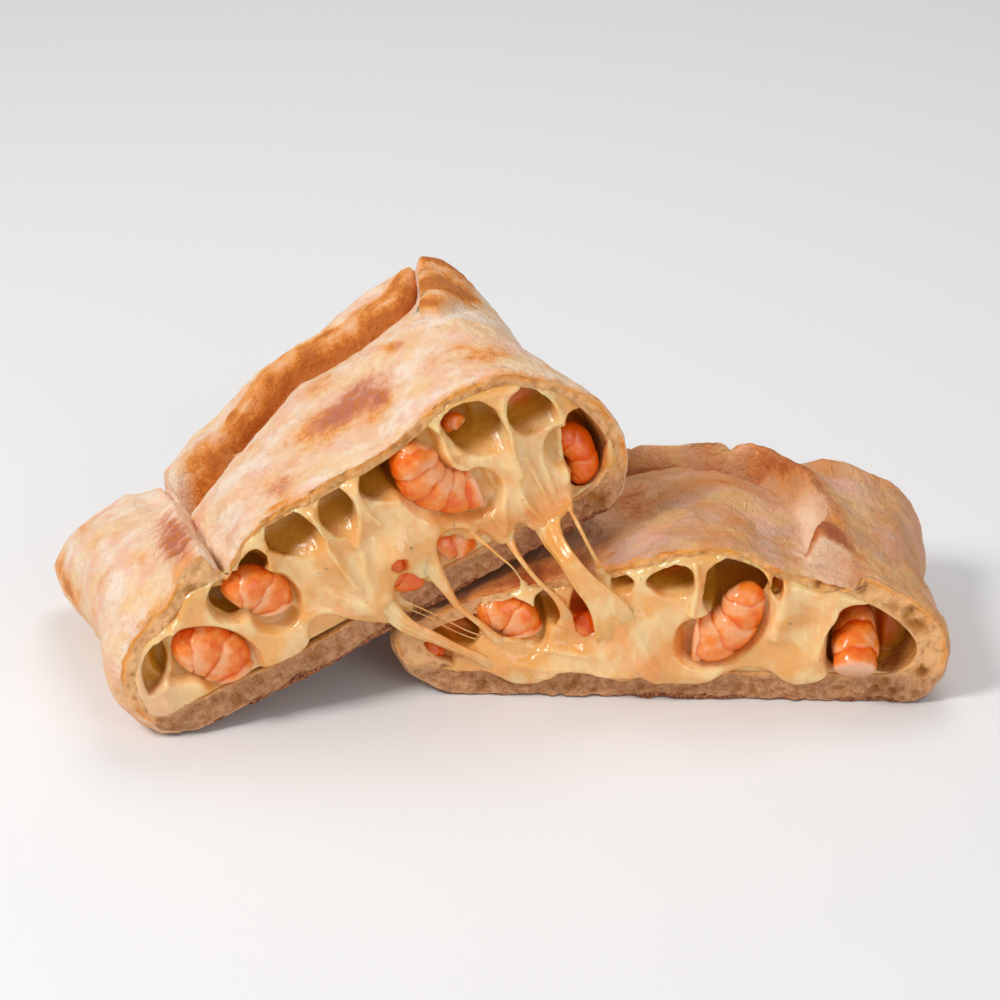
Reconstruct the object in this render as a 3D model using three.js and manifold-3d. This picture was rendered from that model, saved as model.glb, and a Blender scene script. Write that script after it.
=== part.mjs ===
// A baked shrimp and cheese empanada, folded like an envelope and cut in two.
// The left half leans on the right half, and melted cheese still joins them.
// Millimetres, +Z up. Each half is made in a frame of its own: x along the cut,
// y from the cut towards the back, z up from the underside.

import * as THREE from 'three';
import { ParametricGeometry } from 'three/addons/geometries/ParametricGeometry.js';
import { mergeVertices } from 'three/addons/utils/BufferGeometryUtils.js';
import Module from 'manifold-3d';

const wasm = await Module();
wasm.setup();

// ---- driving dimensions ----

const GAP = 0.3;                 // clearance between touching pieces
const CUT_LENGTH = 152;          // length of each cut face
const RIGHT_DEPTH = 71;          // from the cut to the back of the right half
const LEFT_DEPTH = 88;           // and of the left half
const RIGHT_RIM = 17;            // height at which the right half is widest
const LEFT_RIM = 20;             // and the left half
const LID = 4;                   // thickness of the top crust
const WALL = 9;                  // thickness of the end and back crust
const FLOOR = 9;                 // thickness of the bottom crust

const LEAN = 22;                 // degrees by which the left half's right end is raised
const LEFT_YAW = 18.5;           // degrees by which each half is turned about the vertical
const RIGHT_YAW = -2.1;
const LEFT_PLACE = [-23.9, -21.9, 25.48];   // middle of the left half's lower front edge
const RIGHT_PLACE = [47.9, -22.8, 0];        // middle of the right half's lower front edge

const DOUGH = { color: 0xdcae7e, roughness: 0.7, metalness: 0 };
const CHEESE = { color: 0xe9d195, roughness: 0.25, metalness: 0 };
const SHRIMP = { color: 0xee9468, roughness: 0.35, metalness: 0 };

// ---- small functions of one number ----

const { abs, cos, exp, max, min, PI, sign, sin, sqrt } = Math;
const clamp01 = (t) => min(1, max(0, t));
const smooth = (t) => clamp01(t) ** 2 * (3 - 2 * clamp01(t));
const hill = (distance, width) => exp(-((distance / width) ** 2));

// 1 over the flat middle, falling as a quarter ellipse to 0 at |s| = 1
const roundOff = (s, share) => {
  const into = max(0, (abs(s) - 1 + share) / share);
  return sqrt(max(0, 1 - into * into));
};

// a smooth curve through [position, value] pairs, as a function of position
function curveThrough(pairs) {
  const curve = new THREE.SplineCurve(pairs.map(([at, value]) => new THREE.Vector2(at, value)));
  const samples = curve.getPoints(60);
  return (at) => {
    const next = samples.findIndex((p) => p.x >= at);
    if (next === 0) return samples[0].y;
    if (next < 0) return samples[samples.length - 1].y;
    const [a, b] = [samples[next - 1], samples[next]];
    return a.y + (b.y - a.y) * (at - a.x) / (b.x - a.x);
  };
}

// ---- the top surface of each half ----

// A flap's free edge, by the distance d past it: a ramp, a rolled lip, then the flap itself.
const lip = (d, roll, thickness, ramp, power) => (d < 0
  ? (roll + thickness) * clamp01(1 + d / ramp) ** power
  : thickness + roll * hill(d, 7));

// How far the top has sunk, from 0 to 1, at the distance d past a crease.
const foldDip = (d) => hill(d, d < 0 ? 11 : 6);

// The strip folded up along the back: it stands clear of the dip that ends at its crease.
const foldedStrip = (d, rise, dip) => (rise + dip * foldDip(d)) * smooth(d / 3)
  - 1.8 * hill(d - 0.4, 1.3);

const rightFlapEdge = curveThrough([
  [-5, 38.5], [8, 39.5], [18, 42.3], [29, 43.5], [44, 40], [55, 33], [70, 16],
]);
const rightCrease = curveThrough([[-80, 60], [-20, 64], [8, 60], [22, 58], [80, 52]]);

const RIGHT_DIP = 2;             // how far the top sinks to the crease

const rightDome = (x, y) => 37 + (8.5 + 3.5 * hill(y, 20)) * hill(x - 11, x < 11 ? 30 : 20)
  + 3.8 * hill(x + 44, 12) * hill(y, 30)
  - 7.6 * smooth((-24 - x) / 30) - 5 * smooth((x - 50) / 26)
  + 4.5 * hill(x - 46, 11) * hill(y - 62, 14) - 1.5 * hill(x - 23, 9) * hill(y - 62, 12)
  - RIGHT_DIP * foldDip(y - rightCrease(x));

// The ridge stops short of the cut, and leaves a recess before it.
function rightFolds(x, y) {
  const flap = x - rightFlapEdge(y);
  const front = 8 - 9 * smooth((x - 46) / 5);
  const ramp = 7 - 4 * hill(y - 6, 12);
  return lip(flap, 6.5, 3.5, ramp, 1.2) * smooth((y - front) / 1.5)
    + smooth(-flap / 6) * foldedStrip(y - rightCrease(x), 6 + 6 * smooth((3 - x) / 16), RIGHT_DIP);
}

const leftFlapEdge = curveThrough([
  [-5, -43], [5, -43.5], [17, -44.5], [36, -44.5], [64, -45], [90, -48],
]);
const leftCrease = curveThrough([
  [-80, 62], [-40, 60], [-27, 56.5], [-15, 62], [-5, 67], [4, 70], [12, 68], [25, 63.5],
  [33, 62.5], [41, 65], [47, 73], [52, 84], [80, 95],
]);
const leftDip = (x) => 6.5 * smooth((52 - x) / 8);

const leftDome = (x, y) => 43 + 8 * smooth((x + 42) / 18) + 6 * hill(x - 38, 19)
  - 19 * clamp01(y / 84) ** 1.6 * smooth((14 - x) / 62)
  - 5 * hill(y, 18) * smooth((-50 - x) / 10)
  - leftDip(x) * foldDip(y - leftCrease(x)) * smooth((x + 54) / 12)
  - 2.5 * hill(x - 66, 14) * hill(y - 47, 16) - 2 * hill(x - 70, 10) * hill(y - 68, 10);

// How far inside the back corner's folded tip: the least of the distances to its three edges.
const leftCorner = (x, y) => min(
  0.945 * (x - 41) - 0.327 * (y - 52),
  0.832 * (x - 41) + 0.555 * (y - 50),
  0.612 * (y - 42.5) - 0.791 * (x - 46),
);

function leftFolds(x, y) {
  const flap = leftFlapEdge(y) - x;
  const groove = 4.5 * hill(flap + 2, 1.9) * (0.5 + 0.5 * hill(y, 14));
  const inside = leftCorner(x, y);
  const corner = 8.5 * hill(x - 60, 10) * hill(y - 85, 12) + 2.4 * smooth(inside / 2.5)
    - 1.2 * hill(inside, 1.2);
  const rise = 1.2 - 2.2 * smooth((x + 5) / 20) + 7 * smooth((-20 - x) / 20);
  const thickness = 3 + 3 * smooth(y / 70) * smooth((-48 - x) / 8);
  const roll = 4.5 - 3 * smooth((y - 45) / 20);
  return lip(flap, roll, thickness, 2.5, 1) * smooth((y + 10) / 12) - groove + corner
    + smooth(-flap / 5) * foldedStrip(y - leftCrease(x), rise, leftDip(x));
}

// ---- crust and filling ----

// Moves the grid line at s towards s0, so that lines crowd where a flap's edge needs them.
const gather = (s, s0) => s + 0.8 * (1 - s * s) * (s0 - s) * hill(s - s0, 0.25);

// middle, rim and skew place the plan and its widest level; waist pinches the [left, right] ends
// at half depth and bulge swells them just behind the cut; drawIn is the share by which the back
// corners [left, right] are drawn in; rounds and unders are the shares of the half length and
// depth that the top and the underside take to round off at the [left, right, back]; slope is
// added to the right end's share at the cut, and lift to the underside's share towards the back;
// belly is how far the underside sags near the cut.
const LEFT = {
  middle: -2, depth: LEFT_DEPTH, rim: LEFT_RIM, waist: [2.6, 3.5], bulge: [3.4, 0], skew: -9,
  drawIn: [0.05, -0.01],
  flapEdge: leftFlapEdge,
  rounds: [0.3, 0.3, 0.13], slope: 0.04, unders: [0.17, 0.2, 0.2], lift: 0.2,
  belly: 2,
  dome: leftDome, folds: leftFolds,
};
const RIGHT = {
  middle: -1, depth: RIGHT_DEPTH, rim: RIGHT_RIM, waist: [0, 4], bulge: [1.8, 1.4], skew: 0,
  drawIn: [0.09, 0.03],
  flapEdge: rightFlapEdge,
  rounds: [0.36, 0.16, 0.16], slope: 0.2, unders: [0.26, 0.14, 0.14], lift: 0,
  belly: 0,
  dome: rightDome, folds: rightFolds,
};
const SKIN = { wall: 0, lid: 0, floor: 0, front: 0, drawIn: -1 };
const ROOM = { wall: WALL, lid: LID, floor: FLOOR, front: -1, drawIn: 0.1 };
const FILLING = {
  wall: WALL + 4 * GAP, lid: LID + 4 * GAP, floor: FLOOR + GAP, front: -1, drawIn: 0.1,
};

// A half, or the room in it: a pillow with a flat front, whose top and underside meet round
// the other three sides. s runs along the cut from -1 to 1, t from the cut (0) to the back (1).
function pillowPoint(half, inset, s, t, upper) {
  const end = s < 0 ? 0 : 1;
  const drawIn = max(half.drawIn[end], inset.drawIn);
  const x = half.middle + half.skew * t
    + (CUT_LENGTH / 2 - inset.wall) * s * (1 - drawIn * t ** 6)
    + sign(s) * smooth((abs(s) - 0.7) / 0.3)
      * (half.bulge[end] * hill(t - 0.07, 0.1) - half.waist[end] * hill(t - 0.48, 0.22));
  const y = (half.depth - inset.wall) * t * (1 - drawIn * s ** 6) + inset.front * (1 - t);
  const endRound = half.rounds[end] + half.slope * end * (1 - smooth(2 * t));
  const rise = roundOff(s, endRound) * roundOff(t, half.rounds[2]);
  const sag = roundOff(s, half.unders[end] + half.lift * t) * roundOff(t, half.unders[2]);
  const top = half.dome(x, y) + (inset.lid > 0 ? -inset.lid : half.folds(x, y));
  const floor = inset.floor - half.belly * hill(x + 30, 22) * hill(y, 50);
  const z = half.rim + (upper ? (top - half.rim) * rise : (floor - half.rim) * sag);
  return [x, y, z];
}

function pillow(half, inset, slices, stacks) {
  const front = 1 / stacks;       // the first stack of the grid closes the front
  const surface = (u, v, target) => {
    if (v < front / 2) return target.set(half.middle, inset.front, half.rim + inset.floor / 2);
    const t = sin((v - front) / (1 - front) * PI / 2);
    const flap = (half.flapEdge(half.depth * t) - half.middle - half.skew * t) / (CUT_LENGTH / 2);
    const s = gather(sin((u < 0.5 ? 4 * u - 1 : 3 - 4 * u) * PI / 2), flap);
    return target.set(...pillowPoint(half, inset, s, t, u < 0.5));
  };
  return asSolid(new ParametricGeometry(surface, slices, stacks));
}

// A hollow blown or torn in the melted cheese.
function pocket([x, z, halfWidth, halfHeight, depth]) {
  const ball = new THREE.SphereGeometry(1, 8, 6);
  ball.scale(halfWidth, depth, halfHeight);
  ball.translate(x, 0, z);
  return asSolid(ball);
}

// ---- shrimps ----

// A peeled shrimp or a piece of one: oval sections carried along an arc. centre is the arc's
// centre, bulge the direction of its middle in degrees from +Z towards +X, turnOut how far the
// arc's plane is swung about Z, and radii those at its start and end.
function shrimp({ centre, bulge, turnOut = 0, curl, bend, radii }, grow) {
  const slices = 8;
  const stacks = 7;
  const capStack = 0.5 / stacks;
  const surface = (u, v, target) => {
    const along = clamp01((v * stacks - 1) / (stacks - 2));
    const cap = v < capStack || v > 1 - capStack;
    const thickness = radii[0] + (radii[1] - radii[0]) * along;
    const radius = cap ? 0 : thickness * (0.82 + 0.18 * sin(PI * along)) + grow;
    const beyond = cap ? (0.35 * thickness + grow) * (v < 0.5 ? -1 : 1) : 0;
    const angle = (along - 0.5) * THREE.MathUtils.degToRad(bend) + beyond / curl;
    const out = curl + radius * cos(2 * PI * u);
    return target.set(out * sin(angle), -0.85 * radius * sin(2 * PI * u), out * cos(angle));
  };
  const body = new ParametricGeometry(surface, slices, stacks);
  body.rotateY(THREE.MathUtils.degToRad(bulge));
  body.rotateZ(THREE.MathUtils.degToRad(turnOut));
  body.translate(...centre);
  return asSolid(body);
}

const LEFT_SHRIMPS = [
  { centre: [32, 2.5, 40], bulge: 243, curl: 13.5, bend: 104, radii: [6.4, 7.8] },
  { centre: [52.5, 5, 19.5], bulge: 90, curl: 9, bend: 110, radii: [5, 4.8] },
  { centre: [33, 6, 40.5], bulge: 0, curl: 5, bend: 60, radii: [3, 3] },
  { centre: [-41, 3.5, 23.5], bulge: 45, curl: 9, bend: 85, radii: [6.6, 6.6] },
  { centre: [-62.5, 2.5, 11.5], bulge: 48, curl: 12.5, bend: 72, radii: [7.6, 7.4] },
  { centre: [-5, 4, 10], bulge: 60, curl: 9, bend: 100, radii: [7, 6] },
  { centre: [16.5, 3, 7], bulge: 30, curl: 7, bend: 70, radii: [5, 4.5] },
];
const RIGHT_SHRIMPS = [
  { centre: [14, 1.5, 28.5], bulge: 130, curl: 9, bend: 160, radii: [6, 9] },
  { centre: [50, 17, -9], bulge: -25, turnOut: 90, curl: 30, bend: 30, radii: [7.5, 7.2] },
  { centre: [-49, 3.5, 17.5], bulge: 20, curl: 8, bend: 90, radii: [6.5, 6] },
  { centre: [-25, 2.5, 17], bulge: 0, curl: 5, bend: 80, radii: [4, 4] },
  { centre: [-67, 3, 8], bulge: 0, curl: 5, bend: 60, radii: [3.5, 3] },
];

// hollows in the cheese: x, z, half width, half height, depth
const LEFT_POCKETS = [
  [37, 43, 7.5, 8, 12], [52.5, 41, 6.5, 7.5, 11], [11, 43, 8, 8, 12], [-6, 40, 5, 7.5, 10],
  [-19.5, 40, 7, 7.5, 11], [-33, 37, 5, 5.5, 8], [-69, 25, 6, 8, 6], [63, 22, 6.5, 12, 12],
];
const RIGHT_POCKETS = [
  [-1.5, 38, 6.5, 5.5, 12], [15, 37, 8.5, 8, 14], [-14.5, 36.5, 3.5, 2.8, 7],
  [-34, 27, 4.5, 7, 9], [-25, 28, 4, 8, 10], [52, 22, 10, 9.5, 14],
];

// ---- cheese pulled across from one half to the other ----

// A strand: oval sections along a smooth curve, wide where it leaves each half and narrow
// between. over is a point that it passes in front of the right half.
function strand({ from, over, to, widths, thickness }) {
  const slices = 6;
  const stacks = 9;
  const path = new THREE.CatmullRomCurve3([
    new THREE.Vector3(from[0], -thickness - 3 * GAP, from[1]).applyMatrix4(leftFrame),
    new THREE.Vector3(...over).applyMatrix4(rightFrame),
    new THREE.Vector3(to[0], -thickness - GAP, to[1]).applyMatrix4(rightFrame),
  ]);
  const surface = (u, v, target) => {
    const cap = v < 0.5 / stacks || v > 1 - 0.5 / stacks;
    const along = clamp01((v * stacks - 1) / (stacks - 2));
    const ends = widths[0] + (widths[2] - widths[0]) * along;
    const width = widths[1] + (ends - widths[1]) * abs(2 * along - 1) ** 2;
    const forward = path.getTangent(along);
    const side = new THREE.Vector3(0, 1, 0).cross(forward).normalize();
    const outward = forward.clone().cross(side);
    return target.copy(path.getPoint(along))
      .addScaledVector(side, cap ? 0 : width / 2 * cos(2 * PI * u))
      .addScaledVector(outward, cap ? 0 : thickness * sin(2 * PI * u));
  };
  return asSolid(new ParametricGeometry(surface, slices, stacks));
}

const STRANDS = [
  { from: [-6, 9], over: [-65, -5, 20.6], to: [-46, 10.5], widths: [6, 3, 7], thickness: 1.4 },
  { from: [10.5, 17], over: [-60, -3.5, 31], to: [-46, 17.5], widths: [6, 2, 5], thickness: 1 },
  { from: [25, 14], over: [-47, -3, 44], to: [-42, 33], widths: [2, 1.4, 2], thickness: 0.7 },
  { from: [33, 10], over: [-37.5, -4, 38.4], to: [-30, 24], widths: [4, 2, 4], thickness: 0.9 },
  { from: [44.6, 11], over: [-27, -5, 42], to: [-13, 20], widths: [10, 6, 16], thickness: 1.6 },
  { from: [52, 10.5], over: [-25, -4.5, 51], to: [-20, 38], widths: [3, 1.5, 3], thickness: 0.8 },
];

// ---- solids and meshes ----

function asSolid(geometry) {
  geometry.deleteAttribute('normal');
  geometry.deleteAttribute('uv');
  const merged = mergeVertices(geometry, 1e-3);
  return new wasm.Manifold(new wasm.Mesh({
    numProp: 3,
    vertProperties: new Float32Array(merged.attributes.position.array),
    triVerts: new Uint32Array(merged.index.array),
  }));
}

function asMesh(name, solid, finish) {
  const { vertProperties, triVerts, numProp } = solid.getMesh();
  const geometry = new THREE.BufferGeometry();
  const points = new THREE.InterleavedBuffer(vertProperties, numProp);
  geometry.setAttribute('position', new THREE.InterleavedBufferAttribute(points, 3, 0));
  geometry.setIndex(new THREE.BufferAttribute(triVerts, 1));
  const mesh = new THREE.Mesh(geometry, new THREE.MeshStandardMaterial(finish));
  mesh.name = name;
  return mesh;
}

// A solid less its cutters, without the slivers that they part from it.
function minus(solid, cutters) {
  const bodies = cutters.reduce((left, cutter) => left.subtract(cutter), solid).decompose();
  return bodies.reduce((a, b) => (a.volume() > b.volume() ? a : b));
}

// Everything in front of the cut, which the filling is trimmed by.
function frontBlock() {
  const block = new THREE.BoxGeometry(2 * CUT_LENGTH, 20, 2 * CUT_LENGTH);
  block.translate(0, -10, 0);
  return asSolid(block);
}

function buildHalf(side, half, shrimps, pockets) {
  const group = new THREE.Group();
  const places = shrimps.map((piece) => shrimp(piece, 2 * GAP));
  const crust = minus(pillow(half, SKIN, 56, 18), [pillow(half, ROOM, 20, 8), ...places]);
  const cheese = minus(pillow(half, FILLING, 20, 8),
    [frontBlock(), ...pockets.map(pocket), ...places]);
  group.add(asMesh(`crust_${side}`, crust, DOUGH));
  group.add(asMesh(`cheese_${side}`, cheese, CHEESE));
  shrimps.forEach((piece, i) => {
    group.add(asMesh(`shrimp_${side}_${i + 1}`, shrimp(piece, 0), SHRIMP));
  });
  return group;
}

// ---- the whole ----

const left = buildHalf('left', LEFT, LEFT_SHRIMPS, LEFT_POCKETS);
left.rotation.set(0, THREE.MathUtils.degToRad(-LEAN), THREE.MathUtils.degToRad(LEFT_YAW), 'ZYX');
left.position.set(...LEFT_PLACE);

const right = buildHalf('right', RIGHT, RIGHT_SHRIMPS, RIGHT_POCKETS);
right.rotation.z = THREE.MathUtils.degToRad(RIGHT_YAW);
right.position.set(...RIGHT_PLACE);

left.updateMatrix();
right.updateMatrix();
const leftFrame = left.matrix;
const rightFrame = right.matrix;

const empanada = new THREE.Group();
empanada.add(left, right);
STRANDS.forEach((piece, i) => {
  empanada.add(asMesh(`cheese_pull_${i + 1}`, strand(piece), CHEESE));
});

// the origin is under the middle of the whole
const box = new THREE.Box3().setFromObject(empanada, true);
const middle = box.getCenter(new THREE.Vector3());
empanada.position.set(-middle.x, -middle.y, -box.min.z);

export default empanada;
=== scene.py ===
"""A baked shrimp and cheese empanada, folded like an envelope and cut in two.

The left half leans on the right one, and melted cheese still joins the two cuts.
Each half is shaped in a frame of its own, in millimetres: x along the cut, y from the cut towards
the back, z up from the underside. Finished meshes are turned into the model's frame, in metres.
"""

from itertools import product
from types import SimpleNamespace

import bmesh
import bpy
import numpy as np
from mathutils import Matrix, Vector


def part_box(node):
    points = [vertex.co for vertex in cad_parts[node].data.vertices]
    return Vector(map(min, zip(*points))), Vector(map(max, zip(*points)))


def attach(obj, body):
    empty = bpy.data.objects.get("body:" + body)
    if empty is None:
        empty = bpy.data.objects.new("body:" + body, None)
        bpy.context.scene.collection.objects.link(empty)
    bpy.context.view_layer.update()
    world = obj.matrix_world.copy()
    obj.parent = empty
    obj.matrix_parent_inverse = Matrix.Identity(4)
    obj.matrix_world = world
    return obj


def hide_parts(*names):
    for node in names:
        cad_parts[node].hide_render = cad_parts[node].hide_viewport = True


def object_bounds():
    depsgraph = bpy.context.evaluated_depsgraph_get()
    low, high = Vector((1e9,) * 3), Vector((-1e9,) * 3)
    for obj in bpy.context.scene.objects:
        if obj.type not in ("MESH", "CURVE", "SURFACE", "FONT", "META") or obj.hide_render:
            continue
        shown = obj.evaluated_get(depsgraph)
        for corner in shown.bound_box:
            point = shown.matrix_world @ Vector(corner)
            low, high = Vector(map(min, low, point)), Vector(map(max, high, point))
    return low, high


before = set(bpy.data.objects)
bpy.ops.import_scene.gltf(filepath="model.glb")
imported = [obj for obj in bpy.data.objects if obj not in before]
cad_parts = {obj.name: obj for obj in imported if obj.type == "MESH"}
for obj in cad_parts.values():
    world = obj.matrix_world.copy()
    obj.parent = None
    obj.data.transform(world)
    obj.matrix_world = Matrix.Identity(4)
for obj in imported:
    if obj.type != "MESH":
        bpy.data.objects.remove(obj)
CAD_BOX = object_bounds()

MM = 0.001

# ---- driving dimensions, millimetres and degrees ----

CUT_LENGTH = 152                 # length of each cut face
RIGHT_DEPTH, LEFT_DEPTH = 71, 88
RIGHT_RIM, LEFT_RIM = 17, 20     # heights at which the halves are widest
LID, WALL, FLOOR = 4, 9, 9       # thickness of the crust above, beside and under the filling
LEAN, LEFT_YAW, RIGHT_YAW = 22, 18.5, -2.1

# ---- small functions of one number ----


def clamp01(t):
    """The number, held between 0 and 1."""
    return np.clip(t, 0, 1)


def smooth(t):
    """Rises from 0 to 1 as t does, level at both ends."""
    t = clamp01(t)
    return t * t * (3 - 2 * t)


def hill(distance, width):
    """A bell that is 1 at no distance."""
    return np.exp(-((distance / width) ** 2))


def round_off(s, share):
    """1 over the flat middle, then a quarter ellipse down to 0 at |s| = 1."""
    into = np.maximum(0, (np.abs(s) - 1 + share) / share)
    return np.sqrt(np.maximum(0, 1 - into * into))


def smooth_min(a, b, reach):
    """The smaller of two fields, with the corner between them filled over that reach."""
    h = clamp01(0.5 + 0.5 * (b - a) / reach)
    return b + (a - b) * h - reach * h * (1 - h)


def smooth_max(a, b, reach):
    """The larger of two fields, with the corner between them rounded over that reach."""
    return -smooth_min(-a, -b, reach)


def spline(points, per_span=20, closed=False):
    """A uniform Catmull-Rom curve through the points: cubic spans whose slope at each point is
    half the step between its neighbours."""
    p = np.array(points, float)
    around = [np.roll(p, shift, axis=0) for shift in (1, 0, -1, -2)]
    if not closed:
        around[0][0] = p[0]
        around[2][-1] = around[3][-1] = p[-1]
        around[3][-2] = p[-1]
        around = [a[:-1] for a in around]
    before, start, end, after = [a[:, None, :] for a in around]
    w = (np.arange(per_span) / per_span)[None, :, None]
    rise, fall = (end - before) / 2, (after - start) / 2
    curve = ((2 * start - 2 * end + rise + fall) * w**3
             + (-3 * start + 3 * end - 2 * rise - fall) * w**2 + rise * w + start)
    curve = curve.reshape(-1, p.shape[1])
    return curve if closed else np.vstack([curve, p[-1]])


def curve_through(pairs):
    """A smooth curve through (position, value) pairs, as a function of position."""
    at, value = spline(pairs).T
    return lambda position: np.interp(position, at, value)


# ---- lumps without a pattern ----


def noise(points, size, seed=0):
    """Smooth noise from -1 to 1 with lumps of that size: random numbers at the corners of a
    lattice, blended inside each cell by the smooth step. points is (..., 3)."""
    place = np.asarray(points, float) / size + 57.3 * (seed + 1)
    cell = np.floor(place)
    into = place - cell
    into = into * into * (3 - 2 * into)
    cell = cell.astype(np.int64)
    total = np.zeros(place.shape[:-1])
    for corner in product((0, 1), repeat=3):
        key = (cell + corner) @ np.array([73856093, 19349663, 83492791]) + seed * 7919
        key = ((key ^ (key >> 13)) * 1274126177) & 0x7FFFFFFF
        key = ((key ^ (key >> 16)) * 668265263) & 0x7FFFFFFF
        weight = np.prod(np.where(corner, into, 1 - into), axis=-1)
        total += weight * (key / 0x3FFFFFFF - 1)
    return total


def rough(points, size, octaves=3, seed=0):
    """Noise with finer noise on it: each octave is half the size and half the height."""
    return sum(noise(points, size / 2**k, seed + k) / 2**k for k in range(octaves))


def flat_points(x, z, stretch=(1, 1)):
    """(x, 0, z) points of two arrays, for noise over a cut face."""
    return np.stack([x * stretch[0], np.zeros_like(x), z * stretch[1]], axis=-1)


# ---- the top of each half ----


def lip(d, roll, thickness, ramp, power):
    """A flap's free edge, by the distance d past it: a ramp, a rolled lip, the flap itself."""
    return np.where(d < 0, (roll + thickness) * clamp01(1 + d / ramp) ** power,
                    thickness + roll * hill(d, 7))


def fold_dip(d):
    """How far the top has sunk, from 0 to 1, at the distance d past a crease."""
    return hill(d, np.where(d < 0, 11, 6))


def folded_strip(d, rise, dip):
    """The strip folded up along the back: it stands clear of the dip that ends at its crease."""
    return (rise + dip * fold_dip(d)) * smooth(d / 3) - 1.8 * hill(d - 0.4, 1.3)


right_flap_edge = curve_through([
    (-5, 38.5), (8, 39.5), (18, 42.3), (29, 43.5), (44, 40), (55, 33), (70, 16)])
right_crease = curve_through([(-80, 60), (-20, 64), (8, 60), (22, 58), (80, 52)])
left_flap_edge = curve_through([(-5, -43), (5, -43.5), (17, -44.5), (36, -44.5), (64, -45), (90, -48)])
left_crease = curve_through([
    (-80, 62), (-40, 60), (-27, 56.5), (-15, 62), (-5, 67), (4, 70), (12, 68), (25, 63.5),
    (33, 62.5), (41, 65), (47, 73), (52, 84), (80, 95)])


def right_dome(x, y):
    """A low dome, highest near the cut, that falls towards both ends and the back corner."""
    return (37 + (8.5 + 3.5 * hill(y, 20)) * hill(x - 11, np.where(x < 11, 30, 20))
            + 3.8 * hill(x + 44, 12) * hill(y, 30)
            - 7.6 * smooth((-24 - x) / 30) - 5 * smooth((x - 50) / 26)
            + 4.5 * hill(x - 46, 11) * hill(y - 62, 14) - 1.5 * hill(x - 23, 9) * hill(y - 62, 12)
            - 2 * fold_dip(y - right_crease(x)))


def right_folds(x, y):
    """What lies on the right dome: the end flap's lip, which starts behind the recess at the cut,
    plus the back strip in front of it, which is pinched in by two tucks."""
    flap = x - right_flap_edge(y)
    strip = folded_strip(y - right_crease(x), 6 + 6 * smooth((3 - x) / 16), 2)
    tucks = 1.6 * (hill(x - 17, 1.4) + hill(x + 12, 1.2)) * smooth((y - right_crease(x)) / 4)
    front = 8 - 9 * smooth((x - 46) / 5)
    ramp = 7 - 4 * hill(y - 6, 12)
    return (lip(flap, 6.5, 3.5, ramp, 1.2) * smooth((y - front) / 1.5)
            + smooth(-flap / 6) * (strip - tucks))


def left_dome(x, y):
    """A higher dome, with a second hump towards the right and a long fall to the back left."""
    return (43 + 8 * smooth((x + 42) / 18) + 6 * hill(x - 38, 19)
            - 19 * clamp01(y / 84) ** 1.6 * smooth((14 - x) / 62)
            - 5 * hill(y, 18) * smooth((-50 - x) / 10)
            - 6.5 * fold_dip(y - left_crease(x)) * smooth((x + 54) / 12) * smooth((52 - x) / 8)
            - 2.5 * hill(x - 66, 14) * hill(y - 47, 16) - 2 * hill(x - 70, 10) * hill(y - 68, 10))


def left_corner(x, y):
    """How far inside the back corner's folded tip: the least of the distances to its three edges."""
    left = 0.945 * (x - 41) - 0.327 * (y - 52)
    lower = 0.832 * (x - 41) + 0.555 * (y - 50)
    right = 0.612 * (y - 42.5) - 0.791 * (x - 46)
    return smooth_min(smooth_min(left, lower, 3), right, 3)


def left_folds(x, y):
    """What lies on the left dome: the end flap's lip with a groove before it, plus the back corner,
    raised by a broad bell and a folded tip, plus the strip, whose rise changes along the back."""
    flap = left_flap_edge(y) - x
    groove = 4.5 * hill(flap + 2, 1.9) * (0.5 + 0.5 * hill(y, 14))
    inside = left_corner(x, y)
    corner = (8.5 * hill(x - 60, 10) * hill(y - 85, 12) + 2.4 * smooth(inside / 2.5)
              - 1.2 * hill(inside, 1.2))
    rise = 1.2 - 2.2 * smooth((x + 5) / 20) + 7 * smooth((-20 - x) / 20)
    thickness = 3 + 3 * smooth(y / 70) * smooth((-48 - x) / 8)
    roll = 4.5 - 3 * smooth((y - 45) / 20)
    return (lip(flap, roll, thickness, 2.5, 1) * smooth((y + 10) / 12) - groove + corner
            + smooth(-flap / 5) * folded_strip(y - left_crease(x), rise, 6.5 * smooth((52 - x) / 8)))


# middle, rim and skew place the plan and its widest level; waist pinches the (left, right) ends
# at half depth and bulge swells them just behind the cut; draw_in is the share by which the back
# corners (left, right) are drawn in; rounds and unders are the shares of the half length and depth
# that the top and the underside take to round off at the (left, right, back); slope is added to
# the right end's share at the cut, and lift to the underside's share towards the back; belly is
# how far the underside sags near the cut.
LEFT = SimpleNamespace(
    name="left", yaw=LEFT_YAW, lean=LEAN, middle=-2, depth=LEFT_DEPTH, rim=LEFT_RIM,
    waist=(2.6, 3.5), bulge=(3.4, 0), skew=-9, draw_in=(0.05, -0.01), rounds=(0.3, 0.3, 0.13),
    slope=0.04, unders=(0.17, 0.2, 0.2), lift=0.2, belly=2, dome=left_dome, folds=left_folds)
RIGHT = SimpleNamespace(
    name="right", yaw=RIGHT_YAW, lean=0, middle=-1, depth=RIGHT_DEPTH, rim=RIGHT_RIM,
    waist=(0, 4), bulge=(1.8, 1.4), skew=0, draw_in=(0.09, 0.03), rounds=(0.36, 0.16, 0.16),
    slope=0.2, unders=(0.26, 0.14, 0.14), lift=0, belly=0, dome=right_dome, folds=right_folds)
SKIN = SimpleNamespace(wall=0, lid=0, floor=0, draw_in=-1)


def end_swell(half, s, t):
    """How far an end stands out behind the cut, or is pinched at half depth."""
    swell = [half.bulge[end] * hill(t - 0.07, 0.1) - half.waist[end] * hill(t - 0.48, 0.22)
             for end in (0, 1)]
    return smooth((s - 0.7) / 0.3) * swell[1] - smooth((-s - 0.7) / 0.3) * swell[0]


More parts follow.
